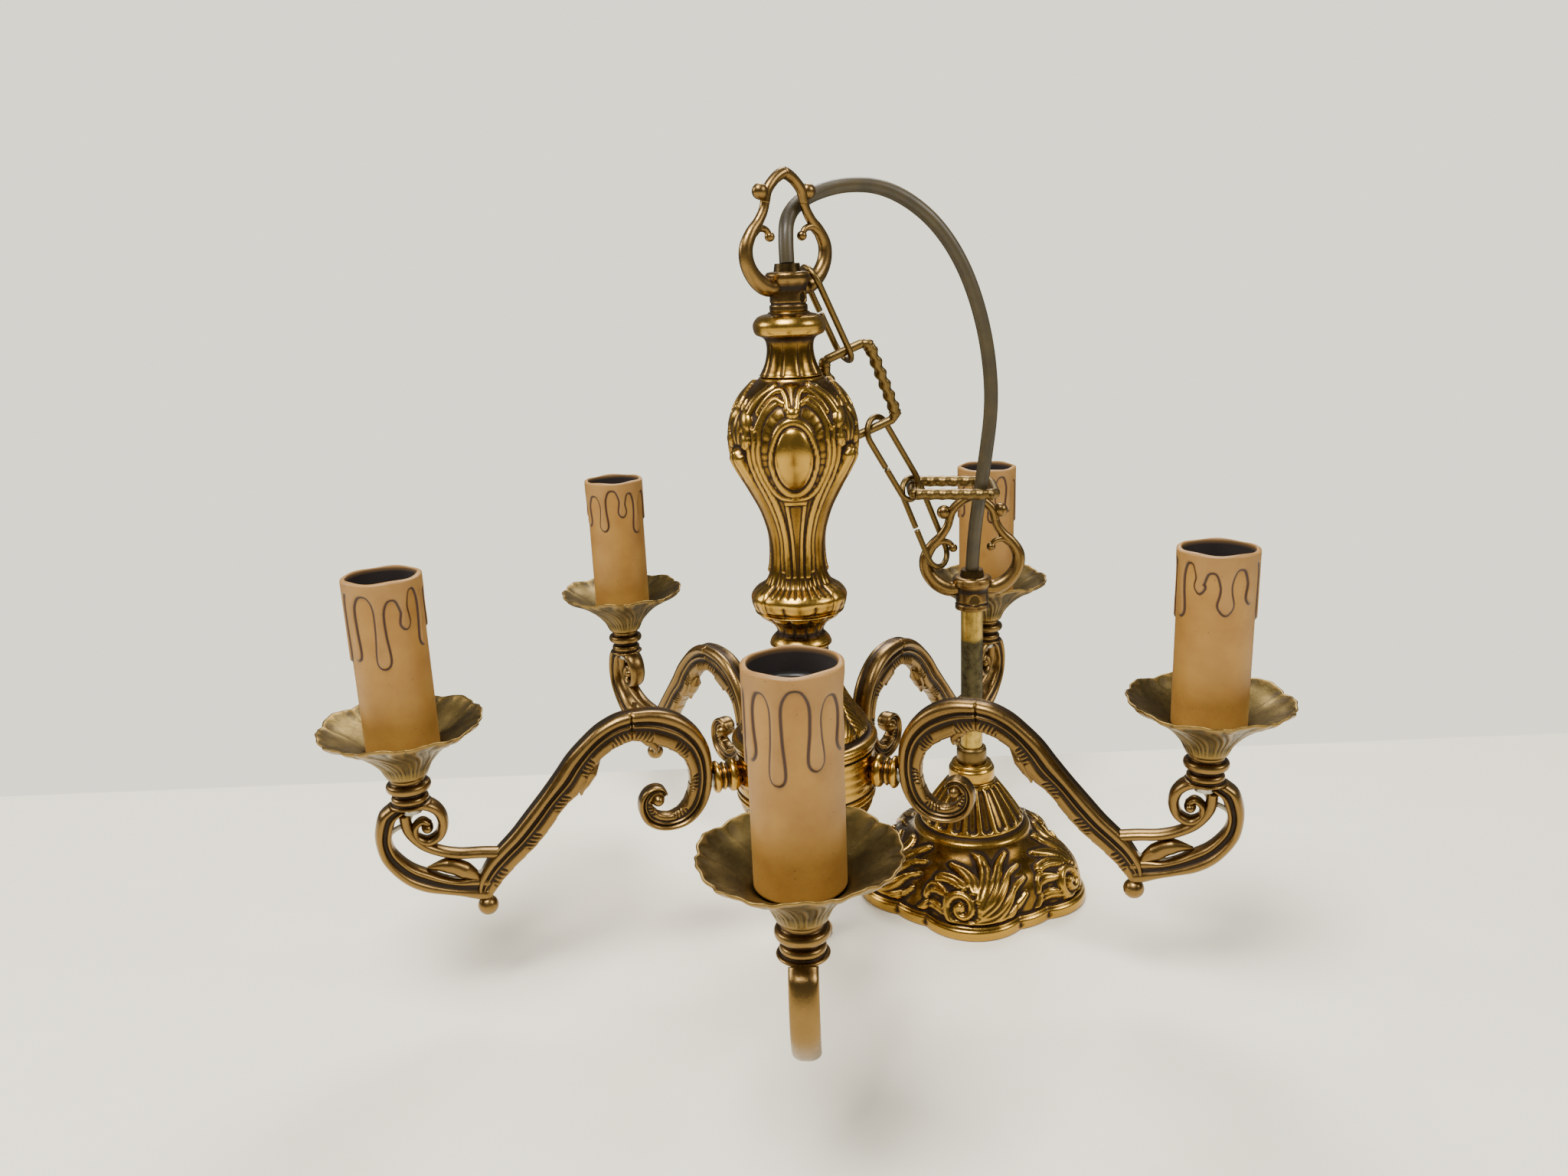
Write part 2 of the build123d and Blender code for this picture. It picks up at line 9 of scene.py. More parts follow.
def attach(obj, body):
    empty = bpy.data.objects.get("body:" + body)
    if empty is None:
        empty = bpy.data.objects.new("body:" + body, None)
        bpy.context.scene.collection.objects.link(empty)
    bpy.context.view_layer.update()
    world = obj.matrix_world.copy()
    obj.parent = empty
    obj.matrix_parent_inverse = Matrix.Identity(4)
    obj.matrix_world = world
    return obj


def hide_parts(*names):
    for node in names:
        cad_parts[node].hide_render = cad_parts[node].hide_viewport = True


# Five-arm cast brass chandelier standing on its bottom finial, its ceiling canopy beside it.
# Lengths in the dictionaries are millimetres; the scene itself is in metres.
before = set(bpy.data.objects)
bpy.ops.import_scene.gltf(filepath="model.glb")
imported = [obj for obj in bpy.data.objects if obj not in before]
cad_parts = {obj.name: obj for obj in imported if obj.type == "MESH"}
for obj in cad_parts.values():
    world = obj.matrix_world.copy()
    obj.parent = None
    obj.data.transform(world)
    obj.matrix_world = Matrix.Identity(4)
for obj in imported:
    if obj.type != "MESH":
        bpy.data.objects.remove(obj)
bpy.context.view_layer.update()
mm = 0.001
bumpDepth = 0.0002
armCount = 5
firstArm = radians(-91.7)
cupDistance = 162.6
canopyAxis = (77.8, 38.9)
print("frame loaded")

# ---- camera: a little above the table, looking down at the arms
camera = {
    "place": (-0.0062, -0.4886, 0.2972),
    "right": (0.99917939, -0.01092112, -0.03900342),
    "up": (0.04050355, 0.26941237, 0.96217277),
    "back": (0.0, -0.96296298, 0.26963363),
    "lens": 28.17,
}
cameraData = bpy.data.cameras.new("camera")
cameraData.lens = camera["lens"]
cameraData.sensor_width = 36
cameraData.clip_start = 0.01
cameraObject = bpy.data.objects.new("camera", cameraData)
bpy.context.collection.objects.link(cameraObject)
placing = Matrix.Identity(4)
for column, key in enumerate(("right", "up", "back", "place")):
    for row in range(3):
        placing[row][column] = camera[key][row]
cameraObject.matrix_world = placing
bpy.context.scene.camera = cameraObject

# ---- flex: from the top loop's bushing over in a stiff arch and down into the canopy's bushing
flex = {
    "diameter": 0.006,
    "length": 0.2467,
    "route": [
        (0, 0, 290.1), (-0.3, 1.4, 299.8), (0.9, 7.6, 307.8), (6.4, 14.8, 313.6),
        (15.6, 19.2, 317.4), (26.6, 21.4, 319.2), (38.6, 23.8, 318.0), (50.6, 26.2, 312.2),
        (62.0, 28.4, 302.4), (71.8, 30.2, 288.0), (79.0, 31.4, 270.0), (83.6, 32.0, 249.5),
        (85.0, 31.8, 228.0), (82.2, 31.2, 206.0), (79.4, 32.4, 185.5), (78.2, 36.6, 169.5),
        (77.8, 38.9, 154.8),
    ],
}
flexCurve = bpy.data.curves.new("flex", "CURVE")
flexCurve.dimensions = "3D"
flexCurve.bevel_depth = 1
flexCurve.bevel_resolution = 6
flexCurve.use_fill_caps = True
flexLine = flexCurve.splines.new("NURBS")
flexLine.points.add(len(flex["route"]) - 1)
for point, (x, y, z) in zip(flexLine.points, flex["route"]):
    point.co = (x * mm, y * mm, z * mm, 1)
    point.radius = flex["diameter"] / 2
flexLine.order_u = 3
flexLine.use_endpoint_u = True
flexLine.resolution_u = 12
flexObject = bpy.data.objects.new("flex", flexCurve)
bpy.context.collection.objects.link(flexObject)
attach(flexObject, "root")
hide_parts("supply_flex")
print("camera and flex done")


# ---- materials
def colour(code):
    channels = [int(code[start:start + 2], 16) / 255 for start in (1, 3, 5)]
    return [c / 12.92 if c <= 0.04045 else ((c + 0.055) / 1.055) ** 2.4 for c in channels] + [1]


def addNode(tree, kind, settings=None, links=None):
    node = tree.nodes.new(kind)
    for name, value in (settings or {}).items():
        if hasattr(node, name):
            setattr(node, name, value)
        else:
            node.inputs[name].default_value = value
    for name, source in (links or {}).items():
        tree.links.new(source, node.inputs[name])
    return node


def blankMaterial(name):
    material = bpy.data.materials.new(name)
    material.use_nodes = True
    material.node_tree.nodes.clear()
    return material, material.node_tree


def shade(tree, shader):
    addNode(tree, "ShaderNodeOutputMaterial", links={"Surface": shader.outputs[0]})


def noiseOf(tree, place, size, detail=3.0, roughness=0.55):
    return addNode(
        tree, "ShaderNodeTexNoise",
        {"Scale": 1 / (size * mm), "Detail": detail, "Roughness": roughness},
        {"Vector": place},
    )


def mixed(tree, factor, first, second):
    node = addNode(tree, "ShaderNodeMix", {"data_type": "RGBA", "blend_type": "MIX"})
    for socket, source in ((node.inputs[0], factor), (node.inputs[6], first), (node.inputs[7], second)):
        if isinstance(source, (float, int, list)):
            socket.default_value = source
        else:
            tree.links.new(source, socket)
    return node.outputs[2]


def ramped(tree, source, low, high, bottom=0.0, top=1.0):
    return addNode(
        tree, "ShaderNodeMapRange",
        {"From Min": low, "From Max": high, "To Min": bottom, "To Max": top},
        {"Value": source},
    ).outputs[0]


def castBrass(name, look):
    material, tree = blankMaterial(name)
    place = addNode(tree, "ShaderNodeTexCoord").outputs["Object"]
    hollow = addNode(tree, "ShaderNodeAttribute", {"attribute_name": "hollow"}).outputs["Fac"]
    cloud = noiseOf(tree, place, look["cloud"], 4.0).outputs["Fac"]
    fine = noiseOf(tree, place, look["cloud"] * 0.22, 4.0, 0.7).outputs["Fac"]
    metal = mixed(tree, ramped(tree, cloud, 0.35, 0.68), colour(look["bright"]), colour(look["deep"]))
    # lacquered brown patina sits in the hollows, rubbed away on the crests
    broken = addNode(tree, "ShaderNodeMath", {"operation": "MULTIPLY_ADD"})
    tree.links.new(fine, broken.inputs[0])
    broken.inputs[1].default_value = 0.5
    tree.links.new(hollow, broken.inputs[2])
    dirt = ramped(tree, broken.outputs[0], look["patinaFrom"], look["patinaTo"])
    crest = ramped(tree, hollow, -0.15, -0.75)
    rubbed = mixed(tree, crest, metal, colour(look["crest"]))
    tone = mixed(tree, dirt, rubbed, colour(look["patina"]))
    rough = addNode(tree, "ShaderNodeMath", {"operation": "MULTIPLY_ADD"})
    tree.links.new(dirt, rough.inputs[0])
    rough.inputs[1].default_value = look["patinaRough"] - look["rough"]
    tree.links.new(ramped(tree, fine, 0.3, 0.7, look["rough"] - 0.05, look["rough"] + 0.07), rough.inputs[2])
    grain = noiseOf(tree, place, 0.7, 3.0).outputs["Fac"]
    bump = addNode(tree, "ShaderNodeBump", {"Strength": look["grain"], "Distance": bumpDepth},
                   {"Height": grain})
    shader = addNode(
        tree, "ShaderNodeBsdfPrincipled",
        {"Metallic": 1.0},
        {"Base Color": tone, "Roughness": rough.outputs[0], "Normal": bump.outputs[0]},
    )
    tree.links.new(ramped(tree, dirt, 0, 1, 1.0, look["patinaMetal"]), shader.inputs["Metallic"])
    shade(tree, shader)
    return material


# cast brass, machine polished and lacquered: warm yellow with soft mirror highlights
polishedBrass = castBrass("polishedCastBrass", {
    "bright": "#7F6029", "deep": "#5D431A", "crest": "#AC873E", "patina": "#2A1B0C",
    "cloud": 14, "rough": 0.23, "patinaRough": 0.5, "patinaMetal": 0.75, "grain": 0.15,
    "patinaFrom": 0.45, "patinaTo": 1.1,
})
# the same casting left as it came, brown-olive, so reflections are broad and dull
agedBrass = castBrass("agedCastBrass", {
    "bright": "#584328", "deep": "#3D2E19", "crest": "#7B6138", "patina": "#261A0E",
    "cloud": 11, "rough": 0.3, "patinaRough": 0.55, "patinaMetal": 0.65, "grain": 0.2,
    "patinaFrom": 0.45, "patinaTo": 1.1,
})
# spun cups dulled to a greenish khaki
cupBrass = castBrass("khakiCupBrass", {
    "bright": "#6C5A31", "deep": "#544525", "crest": "#82693A", "patina": "#37290F",
    "cloud": 8, "rough": 0.4, "patinaRough": 0.6, "patinaMetal": 0.65, "grain": 0.2,
    "patinaFrom": 0.5, "patinaTo": 1.25,
})
# steel wire and small castings, brass plated and tarnished nearly to brown
chainBrass = castBrass("tarnishedChainBrass", {
    "bright": "#4F4025", "deep": "#342916", "crest": "#6E5933", "patina": "#1D150B",
    "cloud": 6, "rough": 0.36, "patinaRough": 0.6, "patinaMetal": 0.6, "grain": 0.3,
    "patinaFrom": 0.36, "patinaTo": 0.85,
})


def rodBrassMaterial():
    material, tree = blankMaterial("tarnishedRodBrass")
    place = addNode(tree, "ShaderNodeTexCoord").outputs["Object"]
    height = addNode(tree, "ShaderNodeSeparateXYZ", links={"Vector": place}).outputs["Z"]
    smear = noiseOf(tree, place, 5, 5.0, 0.7).outputs["Fac"]
    edge = addNode(tree, "ShaderNodeMath", {"operation": "MULTIPLY_ADD"})
    tree.links.new(smear, edge.inputs[0])
    edge.inputs[1].default_value = 0.006
    tree.links.new(height, edge.inputs[2])
    low = ramped(tree, edge.outputs[0], 0.0815, 0.0840)
    high = ramped(tree, edge.outputs[0], 0.1265, 0.1245)
    both = addNode(tree, "ShaderNodeMath", {"operation": "MULTIPLY"}, {0: low, 1: high}).outputs[0]
    clean = mixed(tree, ramped(tree, smear, 0.4, 0.65), colour("#C2A352"), colour("#8F7636"))
    dull = mixed(tree, ramped(tree, smear, 0.4, 0.62), colour("#5A5236"), colour("#322B1B"))
    tone = mixed(tree, both, clean, dull)
    shader = addNode(
        tree, "ShaderNodeBsdfPrincipled", {"Metallic": 0.85},
        {"Base Color": tone, "Roughness": ramped(tree, both, 0, 1, 0.34, 0.55)},
    )
    shade(tree, shader)
    return material


def plainMaterial(name, light, dark, size, metallic, rough, grain=0.0):
    material, tree = blankMaterial(name)
    place = addNode(tree, "ShaderNodeTexCoord").outputs["Object"]
    cloud = noiseOf(tree, place, size, 4.0).outputs["Fac"]
    tone = mixed(tree, ramped(tree, cloud, 0.35, 0.65), colour(light), colour(dark))
    bump = addNode(tree, "ShaderNodeBump", {"Strength": grain, "Distance": bumpDepth},
                   {"Height": noiseOf(tree, place, 0.6).outputs["Fac"]})
    shader = addNode(
        tree, "ShaderNodeBsdfPrincipled", {"Metallic": metallic},
        {"Base Color": tone, "Roughness": ramped(tree, cloud, 0.3, 0.7, rough - 0.05, rough + 0.05),
         "Normal": bump.outputs[0]},
    )
    shade(tree, shader)
    return material


def candleMaterial():
    material, tree = blankMaterial("waxedCardTube")
    place = addNode(tree, "ShaderNodeTexCoord").outputs["Object"]
    wax = addNode(tree, "ShaderNodeAttribute", {"attribute_name": "waxEdge"}).outputs["Fac"]
    cloud = noiseOf(tree, place, 12, 3.0).outputs["Fac"]
    body = mixed(tree, ramped(tree, cloud, 0.35, 0.7), colour("#9C722F"), colour("#8E6325"))
    cap = mixed(tree, ramped(tree, cloud, 0.35, 0.7), colour("#997138"), colour("#89622B"))
    # a brown line was painted round the edge of the wax
    skin = mixed(tree, ramped(tree, wax, -0.15, -0.55), body, cap)
    inLine = ramped(tree, wax, 0.75, 0.35)
    outLine = ramped(tree, wax, -0.5, -0.15)
    line = addNode(tree, "ShaderNodeMath", {"operation": "MULTIPLY"}, {0: inLine, 1: outLine}).outputs[0]
    lined = mixed(tree, line, skin, colour("#331605"))
    # painted shade: the bore of the tube is coloured near black from a little below the rim down, standing in
    # for the shade inside the tube
    boreShadeMask = addNode(tree, "ShaderNodeAttribute", {"attribute_name": "boreShadeMask"}).outputs["Fac"]
    lined = mixed(tree, boreShadeMask, lined, colour("#1C1310"))
    # small dark specks in the wax
    speck = addNode(tree, "ShaderNodeTexVoronoi", {"Scale": 1 / (3.4 * mm)},
                    {"Vector": place}).outputs["Distance"]
    spotted = mixed(tree, ramped(tree, speck, 0.075, 0.05, 0.0, 0.7), lined, colour("#4A2C12"))
    bump = addNode(tree, "ShaderNodeBump", {"Strength": 0.25, "Distance": bumpDepth},
                   {"Height": noiseOf(tree, place, 1.2).outputs["Fac"]})
    shader = addNode(
        tree, "ShaderNodeBsdfPrincipled",
        {"Subsurface Weight": 0.05, "Subsurface Scale": 0.002},
        {"Base Color": spotted, "Roughness": ramped(tree, boreShadeMask, 0, 1, 0.5, 1.0), "Normal": bump.outputs[0]},
    )
    shade(tree, shader)
    return material


# brass tube, wiped bright at both ends and dull olive between, so its shine comes in patches
rodBrass = rodBrassMaterial()
# card tube dipped in wax: matt all over, with a brown painted line and painted shade darkening the bore
candleWax = candleMaterial()
# aged olive PVC: one soft streak of light along the bend
flexSheath = plainMaterial("olivePvcSheath", "#41371F", "#332B19", 9, 0.0, 0.42, 0.1)
# black phenolic moulding: dull and nearly lost in the shade of the candle
blackPhenolic = plainMaterial("blackPhenolicMoulding", "#1B1918", "#100F0E", 5, 0.0, 0.4, 0.2)
# zinc plated steel: pale grey with a blurred shine
zincSteel = plainMaterial("zincPlatedSteel", "#B9B6AC", "#918E84", 3, 1.0, 0.38, 0.3)
# stamped brass contacts: the brightest yellow on the piece
contactBrass = plainMaterial("stampedContactBrass", "#C7A557", "#A5843F", 3, 1.0, 0.3, 0.1)
# pale wire insulation: flat and even
innerWire = plainMaterial("innerWireSheath", "#BDB7A6", "#A39C88", 4, 0.0, 0.5, 0.1)
flexCurve.materials.append(flexSheath)
print("materials done")


# ---- shaping helpers
def curveThrough(points, step, closed=False):
    points = np.array(points, float)
    if closed:
        padded = np.vstack([points[-1:], points, points[:2]])
    else:
        padded = np.vstack([2 * points[0] - points[1], points, 2 * points[-1] - points[-2]])
    t = np.linspace(0, 1, 16, endpoint=False)[:, None]
    runs = []
    for a, b, c, d in zip(padded, padded[1:], padded[2:], padded[3:]):
        runs.append(0.5 * (2 * b + (c - a) * t + (2 * a - 5 * b + 4 * c - d) * t**2
                           + (3 * b - a - 3 * c + d) * t**3))
    fine = np.vstack(runs + [padded[-2:-1]])
    run = np.concatenate([[0], np.cumsum(np.linalg.norm(np.diff(fine, axis=0), axis=1))])
    even = np.linspace(0, run[-1], max(2, int(round(run[-1] / step))) + 1)
    return np.stack([np.interp(even, run, fine[:, axis]) for axis in range(fine.shape[1])], axis=1)


def toCurve(a, z, line):
    best = np.full(a.shape, 1e9)
    where = np.zeros(a.shape)
    travelled = 0.0
    for (pa, pz), (qa, qz) in zip(line[:-1], line[1:]):
        da, dz = qa - pa, qz - pz
        length = max(1e-6, np.hypot(da, dz))
        t = np.clip(((a - pa) * da + (z - pz) * dz) / length**2, 0, 1)
        distance = np.hypot(a - pa - t * da, z - pz - t * dz)
        closer = distance < best
        best[closer] = distance[closer]
        where[closer] = (travelled + t * length)[closer]
        travelled += length
    return best, where / travelled


def smooth(value, low, high):
    t = np.clip((value - low) / (high - low), 0, 1)
    return t * t * (3 - 2 * t)


def ridge(distance, width):
    return np.sqrt(np.clip(1 - (distance / width) ** 2, 0, 1))


def frond(a, z, points, width, height):
    distance, t = toCurve(a, z, curveThrough(points, 1.2))
    half = width * (0.6 + 0.4 * np.sin(pi * np.clip(t, 0.02, 1) ** 0.8)) * (1 - 0.2 * t)
    shape = ridge(distance, half)
    vein = 0.35 * np.exp(-(distance / (0.22 * width)) ** 2) * smooth(1 - t, 0.05, 0.4)
    return height * (shape - vein * shape)


def spiralLine(centre, radius, turns, start, hand, inner=0.12):
    steps = int(18 * turns) + 2
    points = []
    for step in range(steps):
        t = step / (steps - 1)
        reach = radius * ((1 - t) * (1 - inner) + inner)
        angle = start + hand * tau * turns * t
        points.append((centre[0] + reach * cos(angle), centre[1] + reach * sin(angle)))
    return points


def spinMesh(points, steps, merge=0.004):
    bm = bmesh.new()
    verts = [bm.verts.new((r * mm, 0, z * mm)) for r, z in points]
    edges = [bm.edges.new(pair) for pair in zip(verts, verts[1:])]
    bmesh.ops.spin(bm, geom=verts + edges, cent=(0, 0, 0), axis=(0, 0, 1), angle=tau,
                   steps=steps, use_merge=True)
    bmesh.ops.remove_doubles(bm, verts=bm.verts, dist=merge * mm)
    bmesh.ops.recalc_face_normals(bm, faces=bm.faces)
    return asMesh(bm)


def asMesh(bm):
    mesh = bpy.data.meshes.new("piece")
    bm.to_mesh(mesh)
    bm.free()
    return mesh


def placesOf(mesh):
    flat = np.empty(len(mesh.vertices) * 3)
    mesh.vertices.foreach_get("co", flat)
    return flat.reshape(-1, 3) / mm


def normalsOf(mesh):
    flat = np.empty(len(mesh.vertices) * 3)
    mesh.vertices.foreach_get("normal", flat)
    return flat.reshape(-1, 3)


def movePlaces(mesh, places):
    mesh.vertices.foreach_set("co", (places * mm).ravel())
    mesh.update()


def rolledMesh(rings, capped=True):
    rings = np.asarray(rings, float)
    rows, columns = rings.shape[:2]
    bm = bmesh.new()
    bmesh.ops.create_grid(bm, x_segments=columns, y_segments=rows - 1, size=1)
    bm.verts.ensure_lookup_table()
    wrapped = np.concatenate([rings, rings[:, :1]], axis=1).reshape(-1, 3) * mm
    for vert, place in zip(bm.verts, wrapped):
        vert.co = place
    bmesh.ops.remove_doubles(bm, verts=bm.verts, dist=0.002 * mm)
    if capped:
        open_ = [edge for edge in bm.edges if edge.is_boundary]
        bmesh.ops.holes_fill(bm, edges=open_, sides=0)
    bmesh.ops.recalc_face_normals(bm, faces=bm.faces)
    return asMesh(bm)


def tubeMesh(line, radii, sides=14, flat=1.0, widthDirection=None):
    line = np.asarray(line, float)
    count = len(line)
    radii = np.interp(np.linspace(0, 1, count), np.linspace(0, 1, len(radii)), radii)
    ahead = np.gradient(line, axis=0)
    ahead /= np.linalg.norm(ahead, axis=1)[:, None]
    side = np.array(widthDirection if widthDirection is not None else (0, 0, 1), float)
    rings = []
    for place, along, radius in zip(line, ahead, radii):
        first = side - along * side.dot(along)
        first /= np.linalg.norm(first)
        second = np.cross(along, first)
        turns = np.arange(sides) * tau / sides
        rings.append(place + radius * (np.outer(np.cos(turns), first) * flat
                                       + np.outer(np.sin(turns), second)))
        side = first if widthDirection is None else side
    return rolledMesh(rings)


def ballMesh(centre, radii, segments=20):
    bm = bmesh.new()
    bmesh.ops.create_uvsphere(bm, u_segments=segments, v_segments=segments // 2, radius=1)
    bmesh.ops.scale(bm, vec=[r * mm for r in radii], verts=bm.verts)
    bmesh.ops.translate(bm, vec=[c * mm for c in centre], verts=bm.verts)
    return asMesh(bm)


def joined(meshes):
    bm = bmesh.new()
    for mesh in meshes:
        bm.from_mesh(mesh)
        bpy.data.meshes.remove(mesh)
    return asMesh(bm)


def turnedCopy(mesh, angle, shift=(0, 0)):
    copy = mesh.copy()
    copy.transform(Matrix.Translation((shift[0] * mm, shift[1] * mm, 0)) @ Matrix.Rotation(angle, 4, "Z"))
    return copy


def markHollows(mesh, rounds=(5, 24), scale=0.16):
    count = len(mesh.vertices)
    ends = np.empty(len(mesh.edges) * 2, int)
    mesh.edges.foreach_get("vertices", ends)
    first, second = ends[0::2], ends[1::2]
    places = placesOf(mesh)
    normals = normalsOf(mesh)
    shares = np.bincount(first, minlength=count) + np.bincount(second, minlength=count)
    shares = np.maximum(shares, 1)[:, None]
    blurred = places.copy()
    depth = np.zeros(count)
    for pass_ in range(1, max(rounds) + 1):
        sums = np.zeros_like(blurred)
        for axis in range(3):
            sums[:, axis] = (np.bincount(first, blurred[second, axis], count)
                             + np.bincount(second, blurred[first, axis], count))
        blurred = 0.5 * blurred + 0.5 * sums / shares
        if pass_ in rounds:
            depth += ((blurred - places) * normals).sum(axis=1)
    values = np.clip(depth / scale, -1, 1)
    attribute = mesh.attributes.new("hollow", "FLOAT", "POINT")
    attribute.data.foreach_set("value", values)


def addPiece(name, mesh, body, nodes, material, hollows=True, scale=0.16):
    mesh.name = name
    mesh.shade_smooth()
    if hollows and "hollow" not in mesh.attributes:
        markHollows(mesh, scale=scale)
    mesh.materials.clear()
    mesh.materials.append(material)
    piece = bpy.data.objects.new(name, mesh)
    bpy.context.collection.objects.link(piece)
    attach(piece, body)
    if nodes:
        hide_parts(*nodes)
    return piece


def polar(places):
    x, y = places[:, 0], places[:, 1]
    return np.hypot(x, y), np.arctan2(y, x)


def folded(angle, count, first):
    pitch = tau / count
    return (angle - first + pitch / 2) % pitch - pitch / 2


def raiseBy(mesh, height):
    places = placesOf(mesh)
    movePlaces(mesh, places + normalsOf(mesh) * height[:, None])


# ---- stem
stem = {
    "steps": 264,
    "medallionAngle": radians(-91),
}


# bottom finial: a turned drop with a ring of petals
finialProfile = [(0, 0), (6, 0), (8.6, 0.4), (9.4, 2), (8, 4.5), (5.6, 7), (5.2, 9.2), (8.6, 12),
                 (12.6, 16.6),
                 (14.4, 22), (14.1, 28), (11.4, 33.2), (7.6, 37), (6.4, 39.6), (7.2, 42), (11, 45),
                 (13.6, 48), (14, 50.6), (13.2, 52), (5, 52)]
mesh = spinMesh(curveThrough(finialProfile, 0.6), 160)
places = placesOf(mesh)
reach, turn = polar(places)
petal = np.abs(folded(turn, 12, 0)) / (pi / 12)
onDrop = smooth(places[:, 2], 10, 16) * smooth(36 - places[:, 2], 0, 8)
raiseBy(mesh, onDrop * (0.9 * np.sqrt(np.clip(1 - petal**2, 0, 1)) - 0.9) * smooth(reach, 4, 9))
movePlaces(mesh, np.maximum(placesOf(mesh), (-99, -99, 0)))
addPiece("finial", mesh, "root", ["finial"], polishedBrass)

# hub bowl with gadroons, banded ring and leafy dome
bowlProfile = [(5, 52.2), (12, 52.2), (16, 52.6), (20, 54.6), (24.6, 58.2), (27, 61.8), (28.9, 66),
               (29.2, 68.4),
               (30, 69.4), (30, 70.6), (29.4, 71)]
mesh = spinMesh(curveThrough(bowlProfile, 0.5), stem["steps"])
places = placesOf(mesh)
reach, turn = polar(places)
petal = np.abs(folded(turn, 20, 0)) / (pi / 20)
onBowl = smooth(reach, 15, 20) * smooth(68.2 - places[:, 2], 0, 2)
raiseBy(mesh, onBowl * (1.1 * np.sqrt(np.clip(1 - petal**2.4, 0, 1)) - 1.1))
addPiece("hubBowl", mesh, "root", ["hub_bowl"], polishedBrass)

ringProfile = [(29.2, 71), (30, 71.4), (30, 72.6), (29.3, 73.1), (29.3, 74.2), (29.9, 74.8), (29.9, 89.2),
               (29.3, 89.8), (29.3, 90.8), (30, 91.4), (30, 92.6), (29.2, 93)]
mesh = spinMesh([tuple(p) for p in curveThrough(ringProfile, 0.4)], 160)
places = placesOf(mesh)
reach, turn = polar(places)
lines = np.cos(places[:, 2] * tau / 3.6) * smooth(places[:, 2], 75, 76) * smooth(89 - places[:, 2], 0, 1)
raiseBy(mesh, 0.12 * lines - 0.12)
addPiece("hubRing", mesh, "root", ["hub_ring"], polishedBrass)

domeProfile = [(29.5, 93.2), (30.9, 93.8), (31.2, 95), (30.4, 96.3), (28, 98), (27.2, 99.8),
               (26.6, 102), (22, 108),
               (17.5, 116), (14.5, 124), (12.8, 131), (12.4, 134), (12.6, 136), (12.4, 137.4), (5, 137.5)]
mesh = spinMesh(curveThrough(domeProfile, 0.5), stem["steps"])
places = placesOf(mesh)
reach, turn = polar(places)
leafTurn = folded(turn, 10, firstArm)
across = np.abs(leafTurn) / (pi / 10)
climb = (places[:, 2] - 98) / 33
tip = smooth(1.02 - 0.75 * across**1.6 - climb, 0, 0.12) * smooth(climb, 0, 0.05)
vein = np.exp(-(leafTurn * reach / 0.55) ** 2)
side = 0.5 + 0.5 * np.cos((places[:, 2] - np.abs(leafTurn) * reach * 1.4) * tau / 2.9)
height = tip * (0.9 * np.sqrt(np.clip(1 - across**3, 0, 1)) - 0.28 * vein + 0.26 * side) - 0.9
raiseBy(mesh, height * smooth(places[:, 2], 96.5, 98.5) * smooth(137 - places[:, 2], 0, 2))
addPiece("hubDome", mesh, "root", ["hub_dome"], polishedBrass)

# lower neck: pinched stalk flaring into gadroons under the knop
neckProfile = [(5, 137.6), (12, 137.6), (12.4, 138.6), (11.4, 140), (9.9, 141.6), (9.9, 143.2),
               (11.7, 146), (14.4, 148.2),
               (16.6, 149.6), (17.7, 151), (17.6, 152), (5, 152)]
mesh = spinMesh(curveThrough(neckProfile, 0.4), stem["steps"])
places = placesOf(mesh)
reach, turn = polar(places)
petal = np.abs(folded(turn, 12, stem["medallionAngle"])) / (pi / 12)
onNeck = smooth(places[:, 2], 140.5, 144) * smooth(151.6 - places[:, 2], 0, 1)
raiseBy(mesh, onNeck * (1.5 * np.sqrt(np.clip(1 - petal**2.2, 0, 1)) - 1.5) * smooth(reach, 6, 10))
addPiece("lowerNeck", mesh, "root", ["lower_neck"], polishedBrass)

# upper neck: fluted collar of leaves under a polished bead
upperProfile = [(5, 247.5), (12, 247.5), (12.2, 248.4), (11.2, 250.4), (10.2, 253), (9.4, 257),
                (9.5, 260.4), (10.6, 262.2),
                (13.4, 263.6), (14.3, 266), (14.1, 268), (12.6, 270), (10.6, 270.9), (8.4, 271.4),
                (7.8, 272), (5, 272)]
mesh = spinMesh(curveThrough(upperProfile, 0.35), stem["steps"])
places = placesOf(mesh)
reach, turn = polar(places)
petal = np.abs(folded(turn, 10, stem["medallionAngle"])) / (pi / 10)
onNeck = smooth(places[:, 2], 247.6, 248.4) * smooth(261.4 - places[:, 2], 0, 8) * smooth(reach, 6, 9)
raiseBy(mesh, onNeck * (1.0 * np.sqrt(np.clip(1 - petal**3, 0, 1)) - 1.0))
addPiece("upperNeck", mesh, "root", ["upper_neck"], polishedBrass)
print("hub and necks done")

